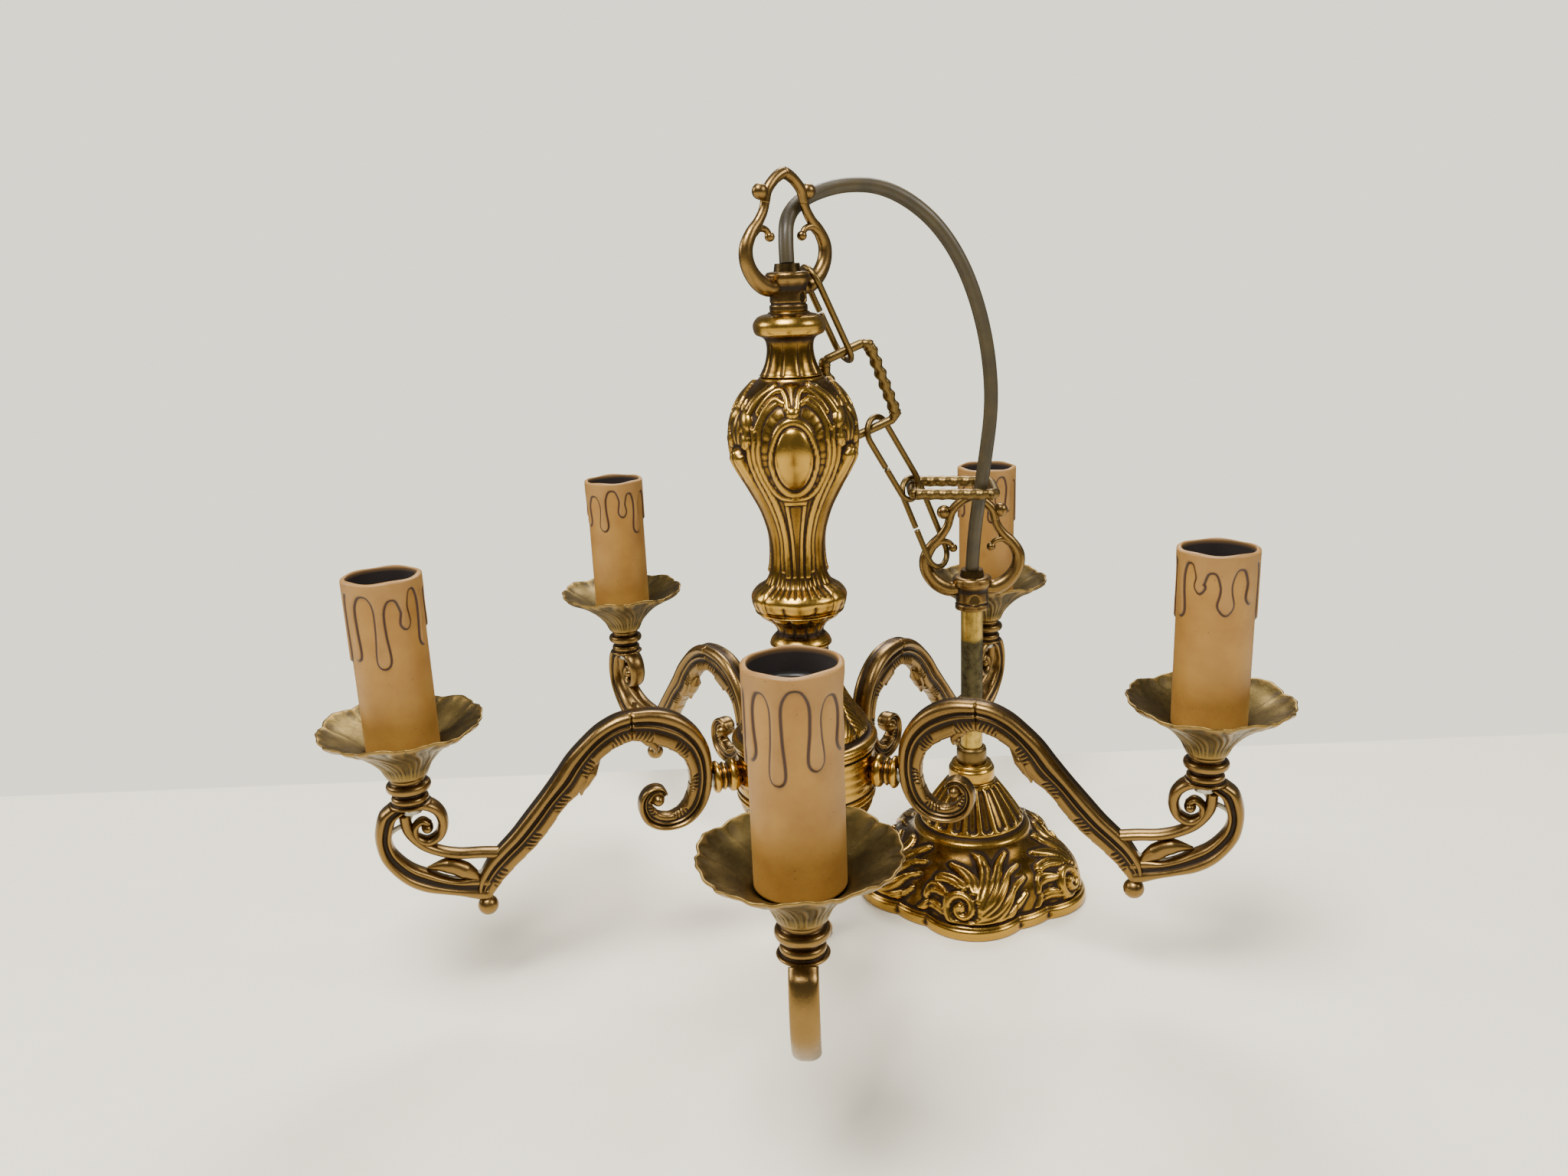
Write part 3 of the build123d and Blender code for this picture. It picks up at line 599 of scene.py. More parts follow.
# baluster: three oval medallions in beaded frames, scrolls over them, straps and flutes under
balusterProfile = [(5, 152), (16.4, 152), (17.6, 152.8), (18.8, 154), (19.6, 156), (19.8, 158),
                   (18.6, 160), (15.8, 161.8),
                   (13.4, 163.6), (11.8, 167), (10.9, 172), (10.5, 178), (10.9, 184), (12.4, 190),
                   (14.6, 196),
                   (17.6, 202), (20.8, 208), (23.4, 213), (24.9, 218), (25.3, 223), (24.9, 228.5),
                   (23.2, 234),
                   (20.4, 239), (16.8, 243), (13.6, 245.8), (12, 247.2), (5, 247.4)]
baluster = {
    "cabochonHeight": 217.5,
    "cabochonHalf": (7.4, 12.4),
    "frame": [(0, 240.2), (6.2, 238.6), (11.0, 233.6), (13.6, 226.5), (13.9, 219), (12.6, 212), (9.6, 205.6),
              (5.4, 201.6), (0, 200.6)],
    "bands": [
        ([(15.8, 229), (16.0, 220), (14.2, 211.5), (10.6, 204), (7.4, 196), (5.6, 186), (4.4, 176),
          (4.0, 168)], 1.2, 1.1),
        ([(18.6, 224), (18.4, 218), (16.6, 210), (13.0, 202.5), (9.8, 195), (7.6, 185), (6.4, 176),
          (6.0, 170)], 1.1, 0.8),
        ([(3.6, 198.6), (3.0, 192), (2.2, 184), (1.6, 176), (1.4, 168)], 0.7, 0.6),
    ],
    "scrolls": [
        ([(1.6, 236.5), (2.2, 240.4), (4.4, 243.0), (7.6, 242.6), (10.6, 239.4), (13.2, 235)], 1.3, 1.5),
        ([(3.4, 238.6), (6.6, 240.2), (9.4, 237.8), (12.0, 233.4), (14.6, 228.8)], 1.1, 1.2),
        ([(8.6, 244.4), (12.6, 241.4), (16.2, 236.4), (18.6, 231), (19.2, 226)], 1.5, 1.5),
        ([(12.4, 243.4), (16.6, 239.2), (19.8, 233.8), (21.6, 228.4)], 1.3, 1.3),
    ],
    "cushions": [((18.8, 232.4), (3.0, 4.4), 2.0), ((20.2, 224.4), (2.8, 3.6), 1.8),
                 ((22.4, 239.0), (2.2, 4.2), 1.2)],
}
mesh = spinMesh(curveThrough(balusterProfile, 0.42), 300)
places = placesOf(mesh)
reach, turn = polar(places)
third = folded(turn, 3, stem["medallionAngle"])
level = places[:, 2]
outer = smooth(reach, 8, 9.5)
a = np.abs(third) * np.interp(level, [160, 176, 196, 212, 225, 240], [12, 10.6, 14.6, 23, 25.2, 19.6])
height = np.zeros(len(level))
halfA, halfZ = baluster["cabochonHalf"]
oval = np.hypot(a / halfA, (level - baluster["cabochonHeight"]) / halfZ)
height += 2.3 * np.sqrt(np.clip(1 - oval**2, 0, 1))
height += 0.85 * ridge(np.abs(oval - 1.19) * halfA, 0.85)
frameGap = toCurve(a, level, curveThrough(baluster["frame"], 1.0))[0]
insideFrame = smooth(oval, 1.28, 1.36)
height += 0.8 * ridge(frameGap, 0.95)
pits = toCurve(a, level, curveThrough([(0, 236.2), (5.2, 234.6), (8.8, 230.6), (10.9, 224.6),
                                       (11.2, 218), (10.2, 211.8),
                                       (7.8, 206.4), (4.4, 203.6), (0, 203.2)], 1.0))
beads = np.abs(np.sin(pits[1] * pi * 13 + 0.8 * np.sin(pits[1] * 23)))
height += 0.22 * ridge(pits[0], 1.8) * beads**0.6 * insideFrame
for points, width, tall in baluster["bands"]:
    gap, run = toCurve(a, level, curveThrough(points, 1.5))
    height = np.maximum(height, tall * ridge(gap, width))
for points, width, tall in baluster["scrolls"]:
    gap, run = toCurve(a, level, curveThrough(points, 1.2))
    taper = width * (1 - 0.3 * run)
    height = np.maximum(height, tall * ridge(gap, taper))
for (ca, cz), (ha, hz), tall in baluster["cushions"]:
    blob = np.hypot((a - ca) / ha, (level - cz) / hz)
    height = np.maximum(height, tall * np.sqrt(np.clip(1 - blob**2, 0, 1)))
# the drop that hangs over the medallion from the middle of the scrolls
drop = np.hypot(a / 2.4, (level - 235.2) / 2.2)
height = np.maximum(height, 1.9 * np.sqrt(np.clip(1 - drop**2, 0, 1)))
stalk = np.clip(1 - np.abs(a) / (1.2 + 0.35 * np.clip(level - 236, 0, 9)), 0, 1)
height = np.maximum(height, 1.0 * np.sqrt(stalk) * smooth(level, 235.5, 237) * smooth(246 - level, 0, 2))
# strap bar under the frame
bar = np.maximum(np.abs(a) / 4.4, np.abs(level - 199.2) / 0.8)
height = np.maximum(height, 0.9 * smooth(1.15 - bar, 0, 0.35))
# ears: an upright leaf between every two medallions
edgeA = (pi / 3 - np.abs(third)) * np.interp(level, [160, 176, 196, 212, 225, 240],
                                             [12, 10.6, 14.6, 23, 25.2, 19.6])
earHalf = np.interp(level, [163, 176, 190, 204, 213, 218, 221.5], [3.2, 3.8, 5.0, 5.6, 4.8, 4.4, 1.2])
ear = np.sqrt(np.clip(1 - (edgeA / earHalf) ** 2, 0, 1))
earTall = np.interp(level, [163, 180, 195, 206, 213, 217.5, 220.2, 221.6],
                    [0.9, 1.2, 1.5, 1.9, 2.6, 3.6, 3.0, 0])
height = np.maximum(height, ear * earTall)
groove = np.exp(-(edgeA / 0.7) ** 2) * smooth(level, 208, 213) * smooth(221 - level, 0, 2)
height -= 0.8 * groove
cushion = np.hypot(edgeA / 4.6, (level - 229.5) / 7.2)
height = np.maximum(height, 1.4 * np.sqrt(np.clip(1 - cushion**2, 0, 1)) - 0.5 * np.exp(-(edgeA / 0.8) ** 2))
# flutes round the foot, dying out above it
flute = np.abs(folded(turn, 36, stem["medallionAngle"])) / (pi / 36)
height += 0.5 * (np.sqrt(np.clip(1 - flute**2, 0, 1)) - 0.3) * smooth(level, 159.6,
                                                                      161) * smooth(172 - level, 0, 8)
lobe = np.abs(folded(turn, 9, stem["medallionAngle"])) / (pi / 9)
height += (0.9 * np.sqrt(np.clip(1 - lobe**3, 0, 1)) - 0.9) * smooth(level, 152.3,
                                                                     153) * smooth(158 - level, 0, 2.5)
raiseBy(mesh, height * outer)
addPiece("baluster", mesh, "root", ["baluster"], polishedBrass, scale=0.2)
print("baluster done")


# ---- arms
arm = {
    "halfThickness": 4.8,
    "taper": 0.3,
    # pairs of points on the outer and inner edge of each casting, out from the stem and up
    "innerEdges": [
        ((74.1, 117.4), (74.1, 104.3)), ((65.5, 117.1), (67.3, 102.4)), ((58.2, 115.2), (61.6, 99.6)),
        ((51.6, 111.2), (56.8, 96.6)), ((45.8, 104.8), (53.2, 92.6)), ((42.5, 97.7), (51.6, 88)),
        ((41.4, 90.5), (51.2, 83.5)), ((41.4, 83.5), (51.9, 79.3)), ((43, 75.5), (53.3, 75.6)),
        ((46.8, 68.6), (55.3, 72.4)), ((52.6, 63.8), (58.3, 70.2)), ((59.7, 62.2), (61.5, 69.6)),
        ((65.9, 63.1), (64.6, 70.6)), ((70.8, 66.3), (66.6, 72.6)), ((73.3, 71.5), (67.5, 75.1)),
        ((73.2, 77), (67, 77.6)), ((70.6, 81.2), (65.6, 78.8)), ((66.4, 82.9), (64.4, 78.6)),
        ((62.6, 81.8), (63.4, 77.8)), ((60.8, 78.8), (63.2, 76.8)),
    ],
    "slopeEdges": [
        ((73.9, 117.4), (73.9, 104.3)), ((80.5, 116.2), (79.5, 103)), ((87.9, 112.8), (84.6, 100.4)),
        ((94.2, 107.9), (89, 96.6)), ((100.6, 101.9), (92.6, 91.4)), ((106, 95.1), (96.0, 86.2)),
        ((112.5, 87.2), (103.6, 80.0)), ((119.1, 79.8), (110.3, 71.6)), ((125.6, 72.6), (117, 64.6)),
        ((131.6, 67), (124.7, 58)), ((136, 62.5), (131, 52)), ((140, 56), (135.4, 46.5)),
        ((141.5, 50), (137, 44)),
    ],
    "scrollEdges": [
        ((136.5, 44), (134.5, 54)), ((141.5, 45.6), (141.5, 55.6)), ((147.5, 48.3), (148, 56.2)),
        ((154, 50.6), (153.5, 58.4)), ((161.1, 53.1), (158.5, 61.6)), ((167.4, 57.2), (163.6, 64.8)),
        ((172.4, 62.8), (167.4, 68.6)), ((176.1, 69.3), (170.4, 73.2)), ((177.5, 76), (171.3, 77.6)),
        ((177.3, 82.3), (170.4, 81.8)), ((175, 89), (168.6, 86)), ((171, 92.4), (165, 88.4)),
    ],
    "strand": [(130, 64.2), (138, 65.7), (147, 67), (154.6, 69.8), (160.8, 74.2), (164.9, 80.6),
               (165.6, 87.5)],
    "volute": [(164, 91), (157.4, 90.8), (152.9, 87.4), (151.4, 82), (153.2, 76.8), (157.8, 74.6),
               (161.8, 77),
               (162.2, 81.2), (159.2, 83.6), (156.6, 81.6)],
    "leaf": [(139.5, 54), (145, 58.8), (151.4, 62.4), (159.6, 62.8)],
}
acrossSteps = np.array([-1, -0.97, -0.9, -0.8, -0.68, -0.56, -0.44, -0.34, -0.26, -0.19, -0.12, -0.05,
                        0.02, 0.1,
                        0.2, 0.3, 0.4, 0.5, 0.6, 0.7, 0.79, 0.87, 0.94, 0.98, 1.0])


def bandMesh(edges, relief, step=0.5):
    pairs = curveThrough([outer + inner for outer, inner in edges], step)
    spans = np.linalg.norm(np.diff(pairs.reshape(-1, 2, 2).mean(axis=1), axis=0), axis=1)
    run = np.concatenate([[0], np.cumsum(spans)])
    w = np.concatenate([acrossSteps, acrossSteps[-2:0:-1]])
    sign = np.concatenate([np.ones(len(acrossSteps)), -np.ones(len(acrossSteps) - 2)])
    rings = []
    for pair, along in zip(pairs, run):
        outer, inner = pair[:2], pair[2:]
        push, thick = relief(w, along, run[-1])
        t = (w * push + 1)[:, None] / 2
        flat = outer + (inner - outer) * t
        rings.append(np.stack([flat[:, 0], sign * thick, flat[:, 1]], axis=1))
    return rolledMesh(rings)


def railRelief(w, along, total):
    full = arm["halfThickness"] * (1 - arm["taper"] * smooth(along, 0.55 * total, total))
    rail = np.sqrt(np.clip(1 - ((w + 0.6) / 0.42) ** 2, 0, 1))
    line = np.sqrt(np.clip(1 - ((w + 0.04) / 0.15) ** 2, 0, 1))
    # groups of slanted notches cut in the leafy inner side
    group = smooth(abs((along + 4) % 19 - 9.5), 3.6, 4.4)
    notch = 0.5 + 0.5 * np.cos((along + 3.2 * w) * tau / 1.9)
    panel = np.sqrt(np.clip(1 - ((w - 0.54) / 0.46) ** 2, 0, 1))
    cut = 0.75 * (1 - group) * notch * (w > 0.25) * (w < 0.88)
    thick = np.maximum.reduce([full * rail, 0.83 * full * line, (0.75 * full - cut) * panel ** 0.6])
    thick = np.maximum(thick, 0.62 * full * np.sqrt(np.clip(1 - w**6, 0, 1)))
    leafEdge = abs(((along + 2) % 6.5) / 6.5)
    push = np.where(w > 0.5, 1 - 0.05 * (leafEdge - 0.5) * (w - 0.5) * 2, 1)
    push = np.where(w < -0.99, 0.91, push)
    ends = min(1, 0.8 + along / 4, 0.8 + (total - along) / 4)
    return push, thick * ends


def scrollRelief(w, along, total):
    full = 4.6 * (0.7 + 0.3 * smooth(along, 4, 0.45 * total))
    rail = np.sqrt(np.clip(1 - ((w + 0.42) / 0.6) ** 2, 0, 1))
    inner = np.sqrt(np.clip(1 - ((w - 0.6) / 0.41) ** 2, 0, 1))
    thick = np.maximum.reduce([full * rail, 0.82 * full * inner,
                               0.66 * full * np.sqrt(np.clip(1 - w**6, 0, 1))])
    return np.ones(len(w)), thick * min(1, 0.6 + along / 5)


def inPlane(points, step=0.5):
    line = curveThrough(points, step)
    return np.stack([line[:, 0], np.zeros(len(line)), line[:, 1]], axis=1)


armInner = joined([
    bandMesh(arm["innerEdges"], railRelief),
    ballMesh((65.2, 0, 76.6), (3.0, 5.1, 3.0)),
    tubeMesh(inPlane([(70.5, 104.5), (66.5, 102.4), (64.4, 99.4), (64.6, 96.9)]), [1.2, 2.4, 1.8, 0.5],
             12, 1.3, (0, 1, 0)),
])
leafDrop = tubeMesh(inPlane([(88, 97.5), (92.6, 91.6), (95.6, 86.6), (96.4, 83.6)]),
                    [0.6, 2.6, 2.2, 0.5], 12, 1.3, (0, 1, 0))
armOuter = joined([
    bandMesh(arm["slopeEdges"], railRelief),
    bandMesh(arm["scrollEdges"], scrollRelief),
    tubeMesh(inPlane(arm["strand"]), [2.2, 2.1, 2.1, 2.2, 2.4], 14, 1.6, (0, 1, 0)),
    tubeMesh(inPlane(arm["volute"]), [2.6, 2.5, 2.2, 2.0, 1.6, 1.5], 14, 1.9, (0, 1, 0)),
    ballMesh((157.6, 0, 80.6), (2.4, 4.3, 2.4)),
    tubeMesh(inPlane(arm["leaf"]), [1.6, 3.6, 3.3, 0.6], 12, 0.95, (0, 1, 0)),
    ballMesh((137.8, 0, 42), (4.2, 4.2, 4.1)),
    leafDrop,
])
for mesh in (armInner, armOuter):
    markHollows(mesh, scale=0.18)
for index in range(armCount):
    angle = firstArm + tau * index / armCount
    addPiece(f"armInner{index + 1}", turnedCopy(armInner, angle), "root", [f"arm_inner_{index + 1}"],
             agedBrass)
    addPiece(f"armOuter{index + 1}", turnedCopy(armOuter, angle), "root", [f"arm_outer_{index + 1}"],
             agedBrass)
print("arms done")

# beads between the hub ring and the arms
spacerProfile = [(29.2, 0), (29.6, 4.6), (30.4, 5.6), (31.2, 6.6), (32.6, 7.1), (34, 6.7), (34.8, 5.6),
                 (35.3, 5.1),
                 (35.9, 5.5), (36.6, 6.1), (37.3, 5.5), (37.8, 5.3), (38.3, 6.0), (39.3, 6.9),
                 (40.4, 6.6), (41.2, 5.6), (41.5, 4)]
beadSpacer = spinMesh([(r, x) for x, r in curveThrough(spacerProfile, 0.35)], 64)
beadSpacer.transform(Matrix.Translation((0, 0, 82 * mm)) @ Matrix.Rotation(pi / 2, 4, "Y"))
cupCollarProfile = [(4, 91.4), (6.6, 91.4), (8.2, 91.7), (8.0, 92.4), (6.9, 92.9), (7.2, 94.0),
                    (6.9, 95.2), (5.8, 95.9),
                    (5.5, 96.6), (6.4, 97.2), (8.0, 97.9), (8.6, 99.2), (8.3, 100.6), (7.2, 101.3),
                    (6.6, 101.9), (6.7, 102.9),
                    (6.2, 103.4), (4, 103.4)]
cupCollar = spinMesh(curveThrough(cupCollarProfile, 0.35), 64)
cupCollar.transform(Matrix.Translation((cupDistance * mm, 0, 0)))
spacers = joined([turnedCopy(beadSpacer, firstArm + tau * index / armCount) for index in range(armCount)])
addPiece("armSpacers", spacers, "root", ["arm_spacers"], polishedBrass, scale=0.3)
collars = joined([turnedCopy(cupCollar, firstArm + tau * index / armCount) for index in range(armCount)])
addPiece("cupCollars", collars, "root", ["cup_collars"], agedBrass, scale=0.3)

# ---- drip cups: thin ruffled saucers with leaf veins under them
cup = {"petals": 10, "steps": 240}
cupProfile = [(4, 103.6), (7.4, 103.6), (8.4, 105), (10.4, 109), (15.4, 114.4), (22, 119.3),
              (28, 122.9), (30.6, 124.9),
              (31.2, 125.8), (31.1, 126.4), (30.4, 126.1), (27.6, 124.2), (21.6, 120.5), (14.8, 115.6),
              (9.8, 110.8),
              (7.6, 108), (4, 107.4)]
cupMesh = spinMesh(curveThrough(cupProfile, 0.6), cup["steps"])
places = placesOf(cupMesh)
normals = normalsOf(cupMesh)
reach, turn = polar(places)
outside = (normals[:, 2] < 0) | (places[:, 2] < 110)
petalTurn = folded(turn, cup["petals"], 0)
petal = np.abs(petalTurn) / (pi / cup["petals"])
far = smooth(reach, 14, 30.5)
slant = folded(turn + 0.35 * smooth(reach, 8, 26), cup["petals"], 0)
flank = np.abs(slant) / (pi / cup["petals"])
veins = 0.6 * np.sqrt(np.clip(1 - flank**2.4, 0, 1)) - 0.6 + 0.14 * np.cos(slant * cup["petals"] * 4)
raised = np.where(outside, veins * smooth(reach, 7.6, 10) * smooth(31 - reach, 0, 3), 0)
places += normals * raised[:, None]
rim = -0.8 * petal**4 * far - 0.22 * (1 - np.cos(petalTurn * cup["petals"] * 3 + 1)) * smooth(reach, 26, 31)
scale = 1 + rim / np.maximum(reach, 1)
places[:, 0] *= scale
places[:, 1] *= scale
places[:, 2] += (0.55 * np.cos(petalTurn * cup["petals"]) - 0.55 + 0.6 * np.sin(3 * turn + 0.6)) * far**2
movePlaces(cupMesh, places)
markHollows(cupMesh, scale=0.25)
for index in range(armCount):
    angle = firstArm + tau * index / armCount
    centre = (cupDistance * cos(angle), cupDistance * sin(angle))
    addPiece(f"dripCup{index + 1}", turnedCopy(cupMesh, angle + 0.8 * index, centre), "root",
             [f"drip_cup_{index + 1}"], cupBrass)
print("cups done")

# ---- lampholders: black moulding with a threaded brass shell
holderProfile = [(0, 113.2), (3.9, 113.2), (3.9, 109.6), (8, 109.6), (8.1, 115.6), (6.4, 118),
                 (6.4, 139.6), (11.2, 142.8),
                 (11.5, 144), (11.5, 150), (11.1, 150.6), (11.1, 152), (11.5, 152.6), (11.5, 177.2),
                 (11, 177.8), (8, 177.8),
                 (7.6, 177.2), (7.6, 157.2), (5.6, 157.2), (5.6, 154.9), (0, 154.9)]
holderMesh = spinMesh(holderProfile, 48)
shellPoints = [(7.5, 176.6)]
for step in range(60):
    height = 176 - step * 0.3
    shellPoints.append((7.3 + 0.18 * cos(tau * (176 - height) / 2.5), height))
shellPoints += [(7.0, 157.7), (5.7, 157.5), (5.7, 157.3), (7.55, 157.3), (7.55, 176.6), (7.5, 176.6)]
shellMesh = spinMesh(shellPoints, 48)
for index in range(armCount):
    angle = firstArm + tau * index / armCount
    centre = (cupDistance * cos(angle), cupDistance * sin(angle))
    addPiece(f"lampholder{index + 1}", turnedCopy(holderMesh, angle, centre), "root",
             [f"lampholder_{index + 1}"],
             blackPhenolic, hollows=False)
    addPiece(f"threadShell{index + 1}", turnedCopy(shellMesh, angle, centre), "root", [],
             contactBrass, hollows=False)

# ---- candle sleeves: card tube dipped in wax, with runs down the side
sleeve = {
    "outside": 13.95,
    "wax": 0.82,
    "inside": 13.05,
    "base": 115.6,
    "top": 185,
    "waxLine": 179.5,
    # each run: direction from the front, lowest point, half width
    "runs": [
        [(-62, 158, 3.0), (-22, 152.5, 2.6), (24, 156.5, 2.7), (66, 160, 2.9), (110, 152, 2.6),
         (150, 163, 2.4),
         (196, 150, 2.8), (240, 160, 2.6), (268, 154, 2.4)],
        [(-78, 160, 2.6), (-44, 170, 2.3), (-6, 162.5, 3.2), (34, 166, 2.4), (70, 158, 2.5), (112, 163, 2.6),
         (156, 154, 2.6), (200, 161, 2.4), (238, 156, 2.6)],
        [(-70, 160, 2.4), (-30, 166, 2.4), (2, 158, 2.3), (40, 163, 2.5), (80, 156, 2.5), (124, 160, 2.4),
         (170, 154, 2.6), (214, 162, 2.4), (252, 157, 2.4)],
        [(-60, 162, 2.5), (-18, 160, 2.5), (22, 167, 2.3), (54, 158, 2.5), (96, 163, 2.4), (140, 155, 2.5),
         (184, 161, 2.5), (228, 156, 2.5), (266, 165, 2.2)],
        [(-66, 153, 2.6), (-36, 155, 2.3), (8, 152, 2.8), (46, 166, 2.2), (78, 158, 2.5), (118, 162, 2.4),
         (160, 155, 2.5), (204, 160, 2.5), (250, 157, 2.5)],
    ],
}


def sleeveMesh(runs, seed):
    low, high, inner, outer = sleeve["base"], sleeve["top"], sleeve["inside"], sleeve["outside"]
    outsideLine = [(outer, low + 0.3 + 0.45 * step) for step in range(int((high - low - 0.9) / 0.45) + 1)]
    points = [(inner, low), (outer - 0.2, low)] + outsideLine
    points += [(outer - 0.15, high - 0.2), (outer - 0.45, high), (inner, high - 0.1), (inner, high - 1.2),
               (inner, high - 2.4), (inner, high - 3.4), (inner, low)]
    mesh = spinMesh(points, 200)
    places = placesOf(mesh)
    reach, turn = polar(places)
    round_ = tau * outer
    firstRun = radians(runs[0][0]) * outer - 4
    a = ((turn + pi / 2) * outer - firstRun) % round_ + firstRun
    level = places[:, 2]
    # the wax ends in a line that swings down each run and up between them
    route = []
    for number, (direction, bottom, half) in enumerate(runs):
        middle = direction / 360 * round_
        last = number == len(runs) - 1
        nextDirection, nextBottom, nextHalf = runs[0 if last else number + 1]
        following = (nextDirection + (360 if last else 0)) / 360 * round_
        top = sleeve["waxLine"] + 1.6 * sin(2.3 * number + seed)
        left, right = middle + half * 0.62, following - nextHalf * 0.62
        span = right - left
        route += [(middle, bottom), (middle + half * 0.86, bottom + half), (left, (top + bottom) / 2),
                  (left, top - 5),
                  (left + 0.22 * span, top - 0.9), ((left + right) / 2, top),
                  (right - 0.22 * span, top - 0.9),
                  (right, top - 5), (right, (top + nextBottom) / 2),
                  (following - nextHalf * 0.86, nextBottom + nextHalf)]
    route = [(x - round_, z) for x, z in route[-20:]] + route + [(x + round_, z) for x, z in route[:20]]
    line = curveThrough(route, 0.8)
    gap, run = toCurve(a, level, line)
    below = np.zeros(len(a), bool)
    for (pa, pz), (qa, qz) in zip(line[:-1], line[1:]):
        hit = ((pa <= a) & (a < qa)) | ((qa <= a) & (a < pa))
        slope = (qz - pz) / (qa - pa) if qa != pa else 0
        below ^= hit & (level < pz + (a - pa) * slope)
    edge = np.where(below, gap, -gap)
    outside = smooth(reach, inner + 0.5, outer - 0.1)
    thick = sleeve["wax"] * smooth(-edge, -0.35, 0.8) * outside
    thick *= smooth(high + 0.2 - level, 0, 1.1)
    thin = 1 + thick / np.maximum(reach, 1)
    places[:, 0] *= thin
    places[:, 1] *= thin
    lip = smooth(level, high - 1.2, high)
    places[:, 2] += lip * (0.25 * np.sin(5 * turn + seed) - 0.3)
    movePlaces(mesh, places)
    attribute = mesh.attributes.new("waxEdge", "FLOAT", "POINT")
    attribute.data.foreach_set("value", np.where(outside > 0.5, edge, -2.0))
    # mask for the painted shade in the bore: full on the inner wall, fading out over the top 2.6 mm to the
    # rim
    attribute = mesh.attributes.new("boreShadeMask", "FLOAT", "POINT")
    attribute.data.foreach_set("value", (1 - smooth(reach, inner + 0.05, inner + 0.4))
                               * smooth(high + 0.3 - level, 0, 2.6))
    return mesh


for index in range(armCount):
    angle = firstArm + tau * index / armCount
    centre = (cupDistance * cos(angle), cupDistance * sin(angle))
    mesh = sleeveMesh(sleeve["runs"][index], 1.7 * index)
    mesh.transform(Matrix.Translation((centre[0] * mm, centre[1] * mm, 0)))
    addPiece(f"candleSleeve{index + 1}", mesh, f"candle_{index + 1}", [f"candle_sleeve_{index + 1}"],
             candleWax, hollows=False)
print("candles done")

# ---- hanging loops: a lyre of two strands with balls and inner curls, on a screwed collar
loop = {
    "strand": [(5.4, 9.6), (10.6, 9.4), (16.2, 12.6), (20.0, 18.0), (20.6, 24.0), (17.6, 29.6), (13.6, 33.8),
               (10.8, 38.2), (10.0, 42.4), (11.4, 44.6)],
    "arch": [(10.2, 40.2), (8.8, 44.8), (5.4, 48.4), (2.4, 50.3), (0, 51.2)],
    "curl": [(17.4, 29.4), (13.8, 31.2), (10.4, 30.6), (8.2, 28.2)],
    "outerBall": (12.4, 44.4),
    "innerBall": (8.4, 28.0),
}
loopCollarProfile = [(5, 0), (7.4, 0), (7.5, 0.5), (7.5, 2.2), (6.9, 2.7), (6.9, 3.2), (7.3, 3.6),
                     (7.2, 8.2), (7.3, 9.4),
                     (8.2, 10.8), (8.7, 12.2), (8.7, 13.8), (8.1, 14.7), (6.4, 15), (5, 15)]


def hangingLoop(screwAngle):
    meshes = []
    for side in (1, -1):
        def flatLine(points):
            return inPlane([(side * x, z) for x, z in points], 0.4)
        strand = flatLine(loop["strand"])
        meshes.append(tubeMesh(strand, [3.2, 3.5, 3.2, 2.9, 2.6, 2.1, 1.9, 1.9], 16, 0.92, (0, 1, 0)))
        meshes.append(tubeMesh(flatLine(loop["arch"]), [1.9, 2.1, 2.1, 2.3], 16, 1.0, (0, 1, 0)))
        meshes.append(tubeMesh(flatLine(loop["curl"]), [2.2, 1.6, 1.3, 1.2], 12, 1.0, (0, 1, 0)))
        x, z = loop["outerBall"]
        meshes.append(ballMesh((side * x, 0, z), (3.25, 2.9, 3.1)))
        x, z = loop["innerBall"]
        meshes.append(ballMesh((side * x, 0, z), (2.0, 2.0, 1.9)))
        for x, z, size in ((15.8, 10.6, 1.5), (19.0, 13.6, 1.6), (21.2, 17.8, 1.4)):
            meshes.append(ballMesh((side * x, 0, z), (size, 2.2, size), 12))
    collar = spinMesh(loopCollarProfile, 120)
    # fine subdivision so that the screw hole has a clean edge
    bm = bmesh.new()
    bm.from_mesh(collar)
    wall = [edge for edge in bm.edges if abs(edge.verts[0].co.z - edge.verts[1].co.z) > 0.0015]
    bmesh.ops.subdivide_edges(bm, edges=wall, cuts=11, use_grid_fill=True)
    bm.to_mesh(collar)
    bm.free()
    places = placesOf(collar)
    reach, turn = polar(places)
    across = np.hypot(np.sin(turn - screwAngle) * reach, places[:, 2] - 5.2)
    sunk = (across < 2.0) & (np.cos(turn - screwAngle) > 0) & (reach > 6)
    scale = np.where(sunk, 5.6 / reach, 1)
    places[:, 0] *= scale
    places[:, 1] *= scale
    movePlaces(collar, places)
    meshes.append(collar)
    return joined(meshes)


topLoop = hangingLoop(radians(-35 - 42))
topLoop.transform(Matrix.Translation((0, 0, 272.1 * mm)) @ Matrix.Rotation(radians(42), 4, "Z"))
addPiece("topLoop", topLoop, "root", ["top_loop"], agedBrass, scale=0.3)
canopyLoop = hangingLoop(radians(-90))
canopyLoop.transform(Matrix.Translation((canopyAxis[0] * mm, canopyAxis[1] * mm, 136.8 * mm)))
addPiece("canopyLoop", canopyLoop, "root", ["canopy_loop"], agedBrass, scale=0.3)
print("loops done")

